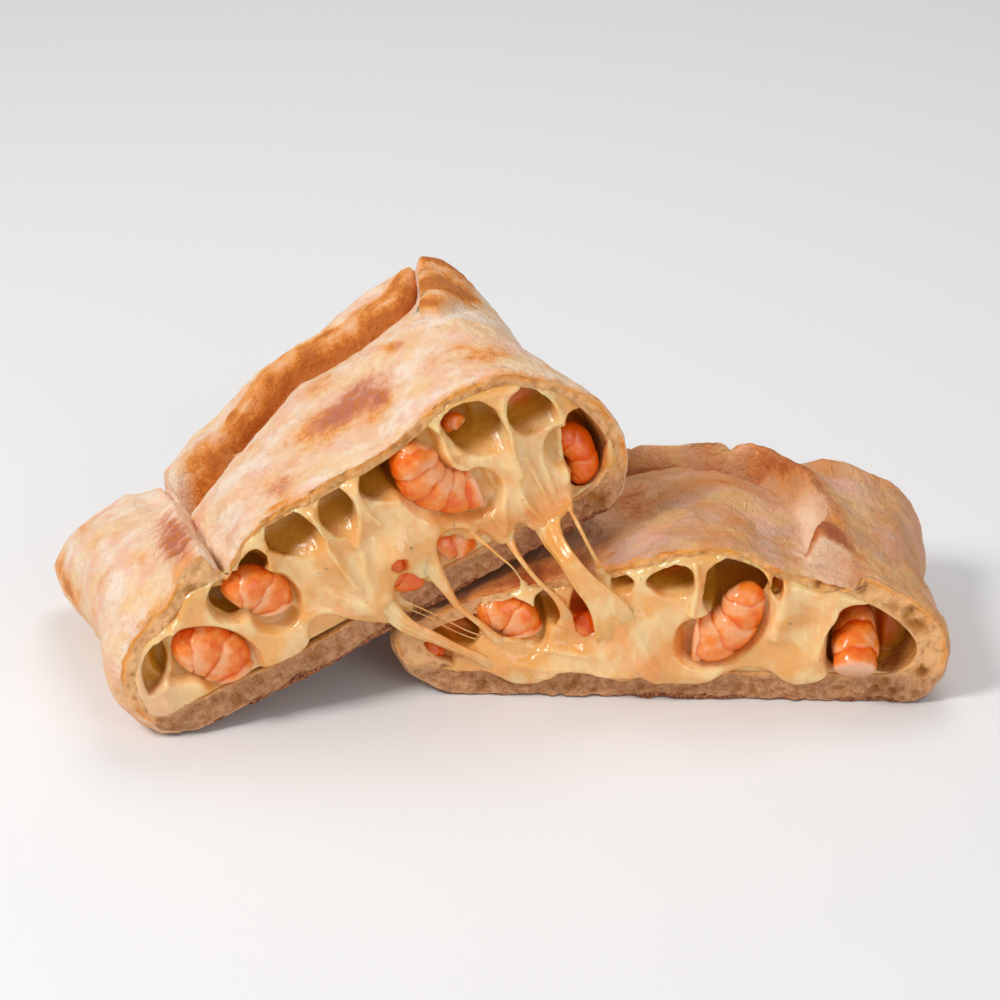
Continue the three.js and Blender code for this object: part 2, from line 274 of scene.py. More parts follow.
def round_offs(half, s, t):
    """How much of the top's rise and of the underside's sag is left at (s, t): a round-off along
    the cut, with its own share at either end, times a round-off towards the back."""
    right_end = s >= 0
    share = np.where(right_end, half.rounds[1] + half.slope * (1 - smooth(2 * t)), half.rounds[0])
    under = np.where(right_end, half.unders[1], half.unders[0]) + half.lift * t
    return (round_off(s, share) * round_off(t, half.rounds[2]),
            round_off(s, under) * round_off(t, half.unders[2]))


def pillow(half, inset, s, t, upper):
    """A half, or the room in it: top and underside meet round three sides, and the cut is flat.
    s runs along the cut from -1 to 1, t from the cut (0) to the back (1). Each height is the
    rim's plus its distance to the top or the floor, times the two round-offs."""
    draw_in = np.maximum(np.where(s >= 0, half.draw_in[1], half.draw_in[0]), inset.draw_in)
    x = (half.middle + half.skew * t + (CUT_LENGTH / 2 - inset.wall) * s * (1 - draw_in * t**6)
         + end_swell(half, s, t))
    y = (half.depth - inset.wall) * t * (1 - draw_in * s**6)
    rise, sag = round_offs(half, s, t)
    folds = half.folds(x, y) if inset.lid == 0 else -inset.lid
    top = half.dome(x, y) + folds
    floor = inset.floor - half.belly * hill(x + 30, 22) * hill(y, 50)
    z = half.rim + np.where(upper, (top - half.rim) * rise, (floor - half.rim) * sag)
    return np.stack([x, y, z], axis=-1)


def pillow_loop(half, inset, angle, t):
    """The pillow by an angle round its section: over the top from the left end, back under."""
    turn = np.mod(angle, 2 * np.pi)
    return pillow(half, inset, -np.cos(turn), t, turn < np.pi)


def pillow_heights(half, axes):
    """The room over a box of grid lines: the heights of its floor and roof, which are the
    pillow's, and the distance past its nearer end, negative inside."""
    x = axes[0][:, None, None]
    y = np.maximum(axes[1], 0)[None, :, None]
    inset = half.room
    t = clamp01(y / (half.depth - inset.wall))
    reach = (CUT_LENGTH / 2 - inset.wall) * (1 - inset.draw_in * t**6)
    along = x - half.middle - half.skew * t
    along = along - end_swell(half, np.clip(along / reach, -1, 1), t)
    rise, sag = round_offs(half, np.clip(along / reach, -1, 1), t)
    high = half.rim + (half.dome(x + 0 * y, y + 0 * x) - inset.lid - half.rim) * rise
    low = half.rim + (inset.floor - half.rim) * sag
    ends = np.abs(along) - reach
    return low + 0 * high, high, ends


# ---- from a half's frame to the model's ----


def about_y(degrees):
    """The matrix of a turn about y, from z towards x."""
    c, s = np.cos(np.radians(degrees)), np.sin(np.radians(degrees))
    return np.array([[c, 0, s], [0, 1, 0], [-s, 0, c]])


def about_z(degrees):
    """The matrix of a turn about z, from x towards y."""
    c, s = np.cos(np.radians(degrees)), np.sin(np.radians(degrees))
    return np.array([[c, -s, 0], [s, c, 0], [0, 0, 1]])


def seat(half):
    """Where a half's own origin lies: its turned skin is slid until its box is the CAD crust's."""
    angle, t = np.meshgrid(np.linspace(0, 2 * np.pi, 400), np.linspace(0, 1, 90))
    skin = pillow_loop(half, SKIN, angle, t).reshape(-1, 3) @ half.turn.T
    low, high = [np.array(corner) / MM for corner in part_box("crust_" + half.name)]
    return (low + high) / 2 - (skin.min(0) + skin.max(0)) / 2


for half in (LEFT, RIGHT):
    half.turn = about_z(half.yaw) @ about_y(-half.lean)     # the right end is raised first
    half.place = seat(half)


def to_model(half, points):
    """A half's points turned and slid into the model's frame."""
    return points @ half.turn.T + half.place


def to_half(half, points):
    """The way back: slid first, then turned by the opposite turn."""
    return (points - half.place) @ half.turn


# ---- meshes ----

SAME_POINT, NO_LENGTH = 0.00001, 0.000005     # metres: points merged, edges dropped


def make_piece(name, points, faces, replaced, finish, attributes):
    """A piece from points in the model's frame, in millimetres, and its faces. An attribute has a
    number or a vector for each point. Points that coincide, as at a closed end, are merged."""
    mesh = bpy.data.meshes.new(name)
    mesh.from_pydata(points * MM, [], faces.tolist())
    for label, values in attributes.items():
        is_vector = np.ndim(values) == 2
        layer = mesh.attributes.new(label, "FLOAT_VECTOR" if is_vector else "FLOAT", "POINT")
        flat = np.ascontiguousarray(values, dtype=np.float32).ravel()
        layer.data.foreach_set("vector" if is_vector else "value", flat)
    work = bmesh.new()
    work.from_mesh(mesh)
    bmesh.ops.remove_doubles(work, verts=work.verts, dist=SAME_POINT)
    bmesh.ops.dissolve_degenerate(work, edges=work.edges, dist=NO_LENGTH)
    work.to_mesh(mesh)
    work.free()
    mesh.polygons.foreach_set("use_smooth", np.ones(len(mesh.polygons), bool))
    mesh.materials.append(finish)
    piece = bpy.data.objects.new(name, mesh)
    bpy.context.scene.collection.objects.link(piece)
    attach(piece, "root")
    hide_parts(*replaced)


def grid_faces(rows, columns):
    """Quads between neighbouring rows of a grid whose columns run round in a loop."""
    number = np.arange(rows * columns).reshape(rows, columns)
    beside = np.roll(number, -1, axis=1)
    quads = np.stack([number[:-1], beside[:-1], beside[1:], number[1:]], axis=-1)
    return quads.reshape(-1, 4)


def grid_normals(points):
    """Unit normals of a grid that is closed along its columns: the cross of its two steps."""
    along = np.roll(points, -1, axis=1) - np.roll(points, 1, axis=1)
    across = np.gradient(points, axis=0)
    normal = np.cross(along, across)
    return normal / np.maximum(np.linalg.norm(normal, axis=-1, keepdims=True), 1e-9)


# ---- crust ----

COLUMNS = 470                    # points round each loop of the crust
SKIN_ROWS, RING_ROWS, ROOM_ROWS = 134, 18, 16


def even_angles(half, t):
    """For each row t, the angles round the loop whose points are evenly spaced along it."""
    dense = np.linspace(0, 2 * np.pi, 2401)
    points = pillow_loop(half, SKIN, dense[None, :], t[:, None])
    steps = np.linalg.norm(np.diff(points, axis=1), axis=-1)
    length = np.concatenate([np.zeros((len(t), 1)), np.cumsum(steps, axis=1)], axis=1)
    wanted = np.linspace(0, 1, COLUMNS, endpoint=False)
    return np.array([np.interp(wanted * row[-1], row, dense) for row in length])


def lean_lip(half, points):
    """Pushes a flap's lip over its own edge, by up to 2 mm, so that a dark crease is left."""
    x, y, z = np.moveaxis(points, -1, 0)
    if half.name == "left":
        push = 1.6 * hill(left_flap_edge(y) - x - 0.5, 3) * smooth((y + 6) / 10)
    else:
        push = -1.6 * hill(x - right_flap_edge(y) - 0.5, 4) * smooth((y - 8) / 5)
    moved = points.copy()
    moved[..., 0] += np.where(z > half.rim, push, 0)
    return moved


def patches(x, y, spots):
    """Soft ovals: the sum of bells at (x, y), each with a length, a width, a turn and a strength."""
    total = np.zeros_like(x)
    for at_x, at_y, length, width, turn, strength in spots:
        c, s = np.cos(np.radians(turn)), np.sin(np.radians(turn))
        along = (x - at_x) * c + (y - at_y) * s
        across = (y - at_y) * c - (x - at_x) * s
        total += strength * np.exp(-((along / length) ** 2) - (across / width) ** 2)
    return total


LEFT_TAN = [
    (4, 26, 9, 8, 0, 1), (10, 30, 11, 7, 0, 0.8), (7, 48, 5, 5, 0, 0.7), (30, 41, 6, 2.5, -60, 0.8),
    (-16, 8, 6, 7, 0, 0.7), (50, 13, 9, 8, 0, 0.7), (20, 21, 4, 4, 0, 1), (12, 16, 8, 5, 0, 0.4),
    (-17, 43, 2.5, 2, 0, 0.6), (46, 23, 5, 4, 0, 0.6), (37, 23, 2.5, 3, 0, 0.5),
    (-20, 1, 4, 1.5, 0, 1), (13, 53, 10, 4, 0, 0.4), (-70, 70, 9, 3, 90, 0.6), (-58, 18, 14, 4, 80, 0.5),
    (-82, 65, 20, 3, 90, 0.7), (-72, 30, 9, 4, 0, 0.5), (-47, 10, 12, 3, 92, 0.8)]
LEFT_SCORCH = [
    (13, 31, 9, 7, 0, 1.3), (20, 22, 3.5, 3, 70, 1), (4, 27, 5, 4, 0, 0.7), (32, 38, 2, 2, 0, 0.5),
    (7, 50, 4, 2, 90, 0.35), (-16, 9, 5, 5, 0, 0.6), (-47.5, 17, 15, 4, 92, 1.1)]
# the right half's browning patches; the one at (-12, 38) is painted shade where the left half leans over
# it, and those of negative strength are paler dough
RIGHT_TAN_AND_SHADE = [
    (12, 47, 9, 4, 0, 0.6), (30, 50, 3, 3, 0, 0.5), (10, 12, 10, 8, 0, 0.4),
    (-12, 38, 15, 6, 90, 0.6), (25, 28, 12, 4, 90, -1), (-10, 10, 8, 7, 0, -1),
    (52, 45, 10, 5, 90, -0.8)]


def left_skin(x, y, z):
    """How the left half's skin is browned, scorched, left cream and stained by oil, its back strip
    browned and partly darkened as painted shade, most at its crease, and its own relief: cross
    wrinkles over the flap's crest and blisters where it is scorched."""
    flap, strip = left_flap_edge(y) - x, y - left_crease(x)
    on_strip = smooth((strip + 1.5) / 1.5) * smooth((1 - flap) / 4)
    # painted shade, partly: the back strip's wall is browned and darkened, with a painted shade line at
    # its crease; then flecks along its crest
    strip_brown_and_shade = 0.85 * smooth((10.5 - strip) / 3) + 0.8 * hill(strip - 0.4, 1.3)
    strip_brown_and_shade = strip_brown_and_shade + 0.7 * hill(strip - 9.5, 2.2) * smooth(noise(flat_points(x, y), 5, 24) / 0.5)
    spotted = 0.6 + 0.7 * smooth((noise(flat_points(x, y), 6, 25) + 0.4) / 0.8)
    peak = smooth(left_corner(x, y) / 3) * smooth((z - 34) / 12)
    tan_and_shade = (1.15 * patches(x, y, LEFT_TAN) + 1.4 * spotted * peak
           + on_strip * (strip_brown_and_shade * smooth((x + 44) / 10) + 0.2 * smooth((x + 14) / 16))
           + 0.4 * smooth((-74 - x) / 8))
    scorch = (patches(x, y, LEFT_SCORCH)
              + 0.5 * hill(strip - 11, 3) * smooth((noise(flat_points(x, y), 7, 4) - 0.1) / 0.6))
    cream = 0.8 * hill(flap + 1, 1.8) * smooth(y / 6) + 0.5 * hill(flap - 8, 3)
    patchy = smooth((noise(flat_points(x, y), 9, 12) + 0.3) / 0.8)
    oil = (0.8 * hill(y, 1.4) * np.maximum(patchy * smooth((x + 30) / 10), smooth((x - 12) / 14))
           + 1.6 * hill(y - 1.5, 3) * hill(x + 48.5, 4) + 0.9 * hill(y, 1.6) * hill(x + 62, 9))
    crest = hill(flap - 3, 4.5) * smooth((y - 2) / 5) * smooth((46 - y) / 10)
    furrow = crest * hill(np.sin(np.pi * (y + 1.5 * np.sin(0.5 * flap)) / 4.5), 0.65)
    blisters = clamp01(patches(x, y, LEFT_SCORCH)) * np.abs(noise(np.stack([x, y, z], -1), 4.5, 6))
    return tan_and_shade + 0.6 * furrow, scorch + 0.9 * furrow, cream, oil, 1.2 * blisters - 2 * furrow


def right_skin(x, y, z):
    """The same for the right half: an even light brown with greyer patches, a browned ridge that is
    cream behind, and cream dough in the recess before the ridge. Painted shade darkens the recess's
    right side, the back strip's crease and the top under the leaning left half, where the oil patch
    is partly painted shade as well."""
    flap, strip = x - right_flap_edge(y), y - right_crease(x)
    crest = hill(flap - 0.5, 4) * smooth((y - 8.5) / 2)
    patchy = smooth((noise(flat_points(x, y), 9, 12) + 0.3) / 0.8)
    # painted shade: the last term darkens the recess's right side
    tan_and_shade = (0.35 + patches(x, y, RIGHT_TAN_AND_SHADE) + crest + 0.4 * hill(strip - 9, 4)
           + 0.9 * hill(y - 9, 1.3) * hill(x - 47, 5))
    # painted shade: the line at the strip's crease and the patch at (-38, 4) under the leaning left half;
    # the rest is the ridge tip's scorch
    scorch = (2.4 * hill(x - 43, 5) * hill(y - 12.5, 4.5) * smooth((y - 9.3) / 0.8)
              + 0.6 * hill(strip, 1) * smooth((36 - x) / 6) + patches(x, y, [(-38, 4, 15, 6, 10, 1.3)]))
    cream = (hill(flap + 5, 4) * smooth((y - 8) / 3) * smooth((46 - y) / 12)
             + (0.4 + 0.4 * patchy) * smooth((flap + 6) / 3) * smooth((10 - y) / 1) * smooth((50 - x) / 5))
    # the patch at (-37, 6) is oil, deepened as painted shade under the leaning left half
    oil = (0.8 * hill(y, 1.6) * patchy + patches(x, y, [(-37, 6, 17, 9, 10, 1.8)])
           + (0.5 + 0.5 * patchy) * crest * smooth((34 - y) / 12))
    return tan_and_shade, scorch, cream, oil, 0.9 * crest * noise(np.stack([x, y, z], -1), 8, 9)


LEFT.skin, RIGHT.skin = left_skin, right_skin


def crumb_relief(half, ring, share):
    """How far the torn crumb sinks behind the cut, and how much of that is pores and tears,
    which the finish darkens as painted shade.
    """
    pores = smooth((noise(ring, 2.6, 14) - 0.25) / 0.3) * smooth((noise(ring, 9, 15) + 0.4) / 0.5)
    body = smooth(np.minimum(share, 1 - share) / 0.2)
    tears = sum(deep * hill(np.hypot(ring[..., 0] - x, ring[..., 2] - z), wide)
                for x, z, wide, deep in half.crumb_holes)
    small = smooth((noise(ring, 1.3, 16) - 0.3) / 0.3)
    pores = pores * (1 - 0.75 * smooth((ring[..., 2] - 14) / 10))
    sunk = 0.8 * rough(ring, 5, 3, seed=17) + 0.3 * rough(ring, 1.5, 2, seed=18)
    return (body * (sunk + 1.3 * pores + 0.5 * small + tears),
            body * clamp01(0.55 * pores + 0.3 * small + 0.4 * tears))


def crust(half, replaced, finish):
    """A closed bowl of dough: the skin, the torn ring that the cut left, and the room inside."""
    t_skin = np.sin(np.linspace(0, 1, SKIN_ROWS) ** 1.25 * np.pi / 2)
    angles = even_angles(half, t_skin)
    skin = lean_lip(half, pillow_loop(half, SKIN, angles, t_skin[:, None]))
    x, y, z = np.moveaxis(skin, -1, 0)
    above = smooth((z - half.rim) / 5)
    below = smooth((5 - z) / 4)
    tan_and_shade, scorch, cream, oil, own = half.skin(x, y, z)
    lumps = 0.8 * rough(skin, 13, 2, seed=3) + 0.36 * rough(skin, 3.8, 3, seed=5)
    relief = lumps * (1 - 0.8 * below) + 0.35 * rough(skin, 2.2, 2, seed=8) * below + own * above
    relief = relief * smooth((1 - t_skin[:, None]) / 0.02) - 0.7 * (1 - smooth(y / 1.6))
    nibs = 0.9 * rough(skin, 4.5, 3, seed=11) * smooth(1 - t_skin[:, None] / 0.035)
    skin = skin + grid_normals(skin) * relief[..., None]
    skin[..., 1] += nibs

    inner = pillow_loop(half, half.room, angles[0], np.zeros(COLUMNS))
    share = np.linspace(1, 0, RING_ROWS + 2)[1:-1, None]
    ring = skin[0] + (inner - skin[0]) * share[..., None]
    sunk, pores = crumb_relief(half, ring, share)
    ring[..., 1] = ring[..., 1] * (1 - share) + sunk

    t_room = np.sin(np.linspace(np.pi / 2, 0, ROOM_ROWS)) ** 1.5
    room = pillow_loop(half, half.room, angles[:1], t_room[:, None])
    room[-1, :, 1] += 0.4

    grain = 0.35 * rough(skin, 7, 3, seed=21) + 0.15 * rough(skin, 2.4, 2, seed=31)
    thick = np.linalg.norm(inner - skin[0], axis=-1) * share
    no_room, no_ring, no_skin = [np.zeros(part.shape[:-1]) for part in (room, ring, skin)]
    masks = {
        # the browning mask also holds painted shade: at the strip's crease, on the right recess's side and
        # where the left half leans
        "tan_and_shade": [no_room, no_ring, (tan_and_shade * above + 0.35 * (1 - above) + grain) * (1 - below)],
        "scorch": [no_room, no_ring, scorch * above * (1 + grain)],
        "cream": [no_room, 0.9 * smooth((-36 - ring[..., 0]) / 8) + 0.6 * smooth((ring[..., 0] - 42) / 8),
                  clamp01(cream) * above],
        "oil": [no_room, no_ring, clamp01(oil) * above],
        "under": [no_room, smooth((1.6 + 1.8 * noise(ring, 6, 19) - ring[..., 2]) / 1.2), below],
        "crumb": [no_room + 1, clamp01(thick / 0.5), no_skin],
        "rim": [no_room, hill(thick - 0.5, 1.1) * smooth((ring[..., 2] - 8) / 8)
                * smooth((noise(ring, 8, 13) + 0.6) / 0.7), no_skin],
        "low": [no_room, smooth((13 - ring[..., 2]) / 8), no_skin],
        # painted shade: deeper in the room, and in the crumb's pores and tears
        "pore_shade": [smooth(room[..., 1] / 5), pores, no_skin],
    }
    points = np.concatenate([room, ring, skin])
    attributes = {label: np.concatenate(rows).ravel() for label, rows in masks.items()}
    attributes["place"] = points.reshape(-1, 3) * MM
    placed = to_model(half, points.reshape(-1, 3))
    placed[:, 2] = np.maximum(placed[:, 2], 0)
    make_piece("dough_" + half.name, placed, grid_faces(len(points), COLUMNS), replaced,
               finish, attributes)


# ---- a surface from a field ----


def surface_net(field, axes):
    """The zero level of a field on a box of grid lines, negative inside. Each cell that the level
    crosses holds one point, the mean of the crossings on its edges, and each grid line that it
    crosses is ringed by a quad of the four cells round it. The melted cheese is made this way
    because its webs, arches and holes have no single grid of two parameters."""
    shape = np.array(field.shape)
    total = np.zeros((*(shape - 1), 3))
    count = np.zeros(shape - 1)
    quads = []
    crossings = []
    for axis in range(3):
        low = np.take(field, range(shape[axis] - 1), axis=axis)
        high = np.take(field, range(1, shape[axis]), axis=axis)
        crossed = (low < 0) != (high < 0)
        share = np.where(crossed, low / np.where(crossed, low - high, 1), 0)
        grid = [a[:-1] if i == axis else a for i, a in enumerate(axes)]
        spot = np.stack(np.meshgrid(*grid, indexing="ij"), axis=-1)
        step = np.diff(axes[axis]).reshape([-1 if i == axis else 1 for i in range(3)])
        spot[..., axis] += share * step
        crossings.append((crossed, low < 0))
        others = [i for i in range(3) if i != axis]
        for shift in product((0, 1), repeat=2):
            window = [slice(None)] * 3
            for other, by in zip(others, shift):
                window[other] = slice(by, by + shape[other] - 1)
            window = tuple(window)
            total += np.where(crossed[window][..., None], spot[window], 0)
            count += crossed[window]
    used = count > 0
    number = np.full(used.shape, -1)
    number[used] = np.arange(used.sum())
    points = total[used] / count[used][:, None]
    for axis, (crossed, inside) in enumerate(crossings):
        b, c = (axis + 1) % 3, (axis + 2) % 3
        inner = [slice(None)] * 3
        inner[b], inner[c] = slice(1, -1), slice(1, -1)
        at = np.argwhere(crossed[tuple(inner)])
        at[:, b] += 1
        at[:, c] += 1
        ring = []
        for back_b, back_c in ((1, 1), (0, 1), (0, 0), (1, 0)):
            cell = at.copy()
            cell[:, b] -= back_b
            cell[:, c] -= back_c
            ring.append(number[tuple(cell.T)])
        ring = np.stack(ring, axis=-1)
        outward = inside[tuple(at.T)]
        quads.append(np.where(outward[:, None], ring, ring[:, ::-1]))
    return points, np.concatenate(quads)


def relax(points, quads, rounds):
    """Moves each point half way to the mean of its neighbours along the quads' edges."""
    edges = np.concatenate([quads[:, [i, (i + 1) % 4]] for i in range(4)])
    for _ in range(rounds):
        total = np.zeros_like(points)
        for axis in range(3):
            total[:, axis] = np.bincount(edges[:, 0], points[edges[:, 1], axis], len(points))
            total[:, axis] += np.bincount(edges[:, 1], points[edges[:, 0], axis], len(points))
        count = np.bincount(edges.ravel(), minlength=len(points))
        points = (points + total / count[:, None]) / 2
    return points


def line_distance(x, z, line):
    """Distance from each (x, z) to the nearest span of a broken line."""
    nearest = np.full(x.shape, 1e9)
    for (ax, az), (bx, bz) in zip(line[:-1], line[1:]):
        dx, dz = bx - ax, bz - az
        along = clamp01(((x - ax) * dx + (z - az) * dz) / (dx * dx + dz * dz + 1e-12))
        nearest = np.minimum(nearest, np.hypot(x - ax - along * dx, z - az - along * dz))
    return nearest


def outline_distance(x, z, corners):
    """Distance from each (x, z) to a closed outline, negative inside: the nearest of its edges,
    with the sign from how many edges a ray along x crosses."""
    nearest = line_distance(x, z, np.vstack([corners, corners[:1]]))
    inside = np.zeros(x.shape, bool)
    for (ax, az), (bx, bz) in zip(corners, np.roll(corners, -1, axis=0)):
        if az != bz:
            crossed = x < (bx - ax) * (z - az) / (bz - az) + ax
            inside ^= ((az > z) != (bz > z)) & crossed
    return np.where(inside, -nearest, nearest)


# ---- shrimps ----

# centre of the curl, bulge the direction of its middle in degrees from +z towards +x, turn_out
# how far the curl's plane is swung about z, curl its radius, bend how many degrees it covers,
# radii at its start and end, cut which ends are knife cuts and flesh how pale they are, open how
# far the cheese draws back from it and deep how much of it is dark orange
LEFT_SHRIMPS = [
    dict(centre=(32, 2.5, 40), bulge=243, curl=13.5, bend=104, radii=(6.4, 7.8), cut=(1, 0)),
    dict(centre=(52.5, 5, 19.5), bulge=90, curl=9, bend=110, radii=(5, 4.8), cut=(0, 0), deep=0.5),
    dict(centre=(33, 6, 40.5), bulge=0, curl=5, bend=60, radii=(3, 3), cut=(0, 0), open=0.4),
    dict(centre=(-41, 3.5, 23.5), bulge=45, curl=9, bend=85, radii=(6.6, 6.6), cut=(0, 1)),
    dict(centre=(-62.5, 2.5, 11.5), bulge=48, curl=12.5, bend=72, radii=(7.6, 7.4), cut=(0, 1)),
    dict(centre=(-5, 4, 10), bulge=60, curl=9, bend=100, radii=(7, 6), cut=(0, 0), open=0,
         deep=0.4),
    dict(centre=(16.5, 3, 7), bulge=30, curl=7, bend=70, radii=(5, 4.5), cut=(1, 0), open=0.7),
]
RIGHT_SHRIMPS = [
    dict(centre=(6.2, 2, 32.2), bulge=127, curl=13, bend=92, radii=(5.8, 8), cut=(0, 1),
         flesh=0.25),
    dict(centre=(50, 17, -9), bulge=-25, turn_out=90, curl=30, bend=30, radii=(7.5, 7.2),
         cut=(1, 1)),
    dict(centre=(-49, 3.5, 17.5), bulge=20, curl=8, bend=90, radii=(6.5, 6), cut=(0, 1)),
    dict(centre=(-25, 2.5, 17), bulge=0, curl=5, bend=80, radii=(4, 4), cut=(0, 0), open=0.5,
         deep=0.5),
    dict(centre=(-67, 3, 8), bulge=0, curl=5, bend=60, radii=(3.5, 3), cut=(0, 0), deep=0.5),
]
SHRIMP_AROUND, SHRIMP_ALONG = 52, 110


def shrimp_axes(shape):
    """The curl's own axes in its half: across, out of its plane, and towards its middle."""
    return about_z(shape.get("turn_out", 0)) @ about_y(shape["bulge"])


def shrimp_points(shape, seed):
    """Oval sections carried round the curl. Each segment swells a little and laps over the next
    in a shallow step that wanders round it; a grown end is a half ball and a cut end is flat."""
    along = np.linspace(0, 1, SHRIMP_ALONG)[:, None]
    turn = np.linspace(0, 2 * np.pi, SHRIMP_AROUND, endpoint=False)[None, :]
    bend = np.radians(shape["bend"])
    length = bend * shape["curl"] + 0.7 * sum(shape["radii"])
    thick = shape["radii"][0] + (shape["radii"][1] - shape["radii"][0]) * along
    segments = max(2, round(length / 7.5))
    phase = along * segments + 0.3 + 0.07 * np.sin(2 * turn + seed) + 0.05 * np.sin(5 * turn + 2 * seed)
    within = phase - np.floor(phase)
    swell = 0.95 + 0.075 * np.sin(np.pi * within) ** 0.6 - 0.04 * within
    swell = swell - 0.035 * hill(within - 1, 0.09) - 0.015 * hill(within, 0.06)
    to_start = clamp01(along / (0.12 if shape["cut"][0] else 0.3) * length / 20)
    to_end = clamp01((1 - along) / (0.12 if shape["cut"][1] else 0.3) * length / 20)
    closing = np.sqrt(np.maximum(0, 1 - (1 - to_start) ** (2 + 6 * shape["cut"][0]))
                      * np.maximum(0, 1 - (1 - to_end) ** (2 + 6 * shape["cut"][1])))
    radius = thick * (0.88 + 0.12 * np.sin(np.pi * along)) * swell * closing
    angle = (along - 0.5) * (bend + 0.7 * thick / shape["curl"])
    crook = 1 + 0.05 * np.sin(2 * turn + 5 * along + seed) + 0.03 * np.sin(3 * turn - 9 * along)
    out = shape["curl"] + radius * np.cos(turn) * crook
    local = np.stack([out * np.sin(angle), -0.85 * radius * np.sin(turn) * crook,
                      out * np.cos(angle)], axis=-1)
    points = local @ shrimp_axes(shape).T + np.array(shape["centre"])
    return points, along + 0 * turn, within, np.cos(turn) + 0 * along


def shrimp(half, number, shape, finish):
    """One shrimp or piece of one. Its bands are kept on it: the seams between segments, how far
    each point is along its segment, the back of the curl and the flesh of a cut end."""
    seed = number + (20 if half.name == "right" else 0)
    points, along, within, back = shrimp_points(shape, seed)
    ripple = 0.16 * rough(points, 2.2, 3, seed=seed) * smooth(np.minimum(along, 1 - along) / 0.06)
    points = points + grid_normals(points) * ripple[..., None]
    seam = hill(np.minimum(within, 1 - within), 0.075)
    flesh = shape["cut"][0] * hill(along, 0.05) + shape["cut"][1] * hill(1 - along, 0.05)
    flesh = flesh * shape.get("flesh", 1)
    values = {"seam": seam, "within": within, "back": back, "flesh": clamp01(flesh),
              "rich": shape.get("deep", 0) + 0 * along}
    attributes = {label: value.ravel() for label, value in values.items()}
    attributes["place"] = points.reshape(-1, 3) * MM
    make_piece(f"prawn_{half.name}_{number}", to_model(half, points.reshape(-1, 3)),
               grid_faces(*along.shape)[:, ::-1], [f"shrimp_{half.name}_{number}"],
               finish, attributes)


# ---- melted cheese ----

# outlines of the hollows on the cut face, with how deep each goes and between which two heights
# its floor slopes back
LEFT_HOLLOWS = [
    dict(line=[(29.5, 49.5), (31.5, 52), (36, 52.5), (41, 51), (44, 46.5), (44.5, 41.5), (43, 35),
               (36.5, 36), (32, 40), (30, 45)], deep=10, floor=(33, 45)),
    dict(line=[(46.5, 45), (49, 48), (53, 48.5), (57, 45.5), (59, 40.5), (59, 36.5), (56.5, 33.5),
               (51, 34.5), (47.5, 37.5), (46, 42)], deep=10, floor=(33, 42)),
    dict(line=[(60, 33), (62, 35), (65, 34.5), (68, 31), (69.5, 26.5), (69, 21.5), (66, 15.5),
               (62, 11), (57.5, 11), (56, 15), (56.5, 22), (58, 28)], deep=12, floor=(6, 12)),
    dict(line=[(-26, 44.5), (-24, 47.5), (-20, 48), (-15.5, 46.5), (-13.5, 42.5), (-12.5, 37),
               (-13.5, 33), (-19.5, 33.5), (-26, 39)], deep=10, floor=(32, 43)),
    dict(line=[(-10, 45), (-7.5, 47.5), (-3, 47.5), (-1, 44), (-1.5, 39), (-3.5, 34.5), (-6.5, 32.5),
               (-10, 36.5), (-11, 41)], deep=9, floor=(32, 42)),
    dict(line=[(-39, 34), (-37, 39.5), (-33.5, 42.5), (-30, 43), (-28, 40.5), (-29, 36), (-34, 33)],
         deep=9, floor=(30, 36)),
    dict(line=[(2, 45), (5.5, 49), (10, 50.5), (15, 52.5), (21, 52), (18, 42), (13, 36), (8, 37),
               (3, 40.5)], deep=12, floor=(35, 44)),
    dict(line=[(-73, 18.5), (-72, 25), (-69, 29.5), (-64.5, 31), (-64.5, 25), (-68.5, 19.5)],
         deep=4.5, floor=(15, 19)),
    dict(line=[(-46, 33), (-44, 36), (-40.5, 33), (-40, 28), (-44, 28)], deep=7, floor=(24, 29)),
    dict(line=[(0.5, 18.5), (2.5, 21), (5, 19.5), (5, 16.5), (2.5, 15.5)], deep=5, floor=(10, 12)),
]
RIGHT_HOLLOWS = [
    dict(line=[(-8, 38.5), (-2.5, 42), (0, 43), (3.5, 42), (5, 39), (4, 34), (-1, 32.5), (-6.5, 35.5)],
         deep=12, floor=(32, 39)),
    dict(line=[(-18, 38.5), (-15, 39.5), (-11.5, 38), (-13, 34), (-17.5, 34.5)], deep=6,
         floor=(33, 37)),
    dict(line=[(7.5, 35), (8.5, 40.5), (11, 44), (14.5, 45), (19, 43.5), (24, 40.5), (25, 37),
               (19, 30), (12, 27), (7.5, 31)], deep=14, floor=(26, 36)),
    dict(line=[(26, 39.5), (28.5, 39.5), (29.5, 37), (28, 33), (26.5, 35)], deep=8, floor=(30, 33)),
    dict(line=[(44.5, 28.5), (47.5, 30.8), (51.5, 31.5), (56, 30.5), (63, 29), (70, 24), (70, 14),
               (60, 9.5), (51.5, 11), (45, 11.5), (42, 15.5), (43.5, 23)], deep=13, floor=(6, 11)),
    dict(line=[(-38.5, 30), (-37, 33.5), (-33.5, 34), (-30, 29), (-29.5, 22.5), (-33.5, 20.5),
               (-37.5, 24)], deep=9, floor=(20, 29)),
    dict(line=[(-28.5, 31), (-26.5, 36.5), (-25, 37.5), (-22.5, 32), (-20.5, 26), (-21, 21.5),
               (-27, 20.5), (-29, 25)], deep=10, floor=(20, 27)),
    dict(line=[(-68, 15), (-66, 22), (-61, 26), (-56, 26), (-55, 18), (-60, 13)], deep=9,
         floor=(12, 18)),
]
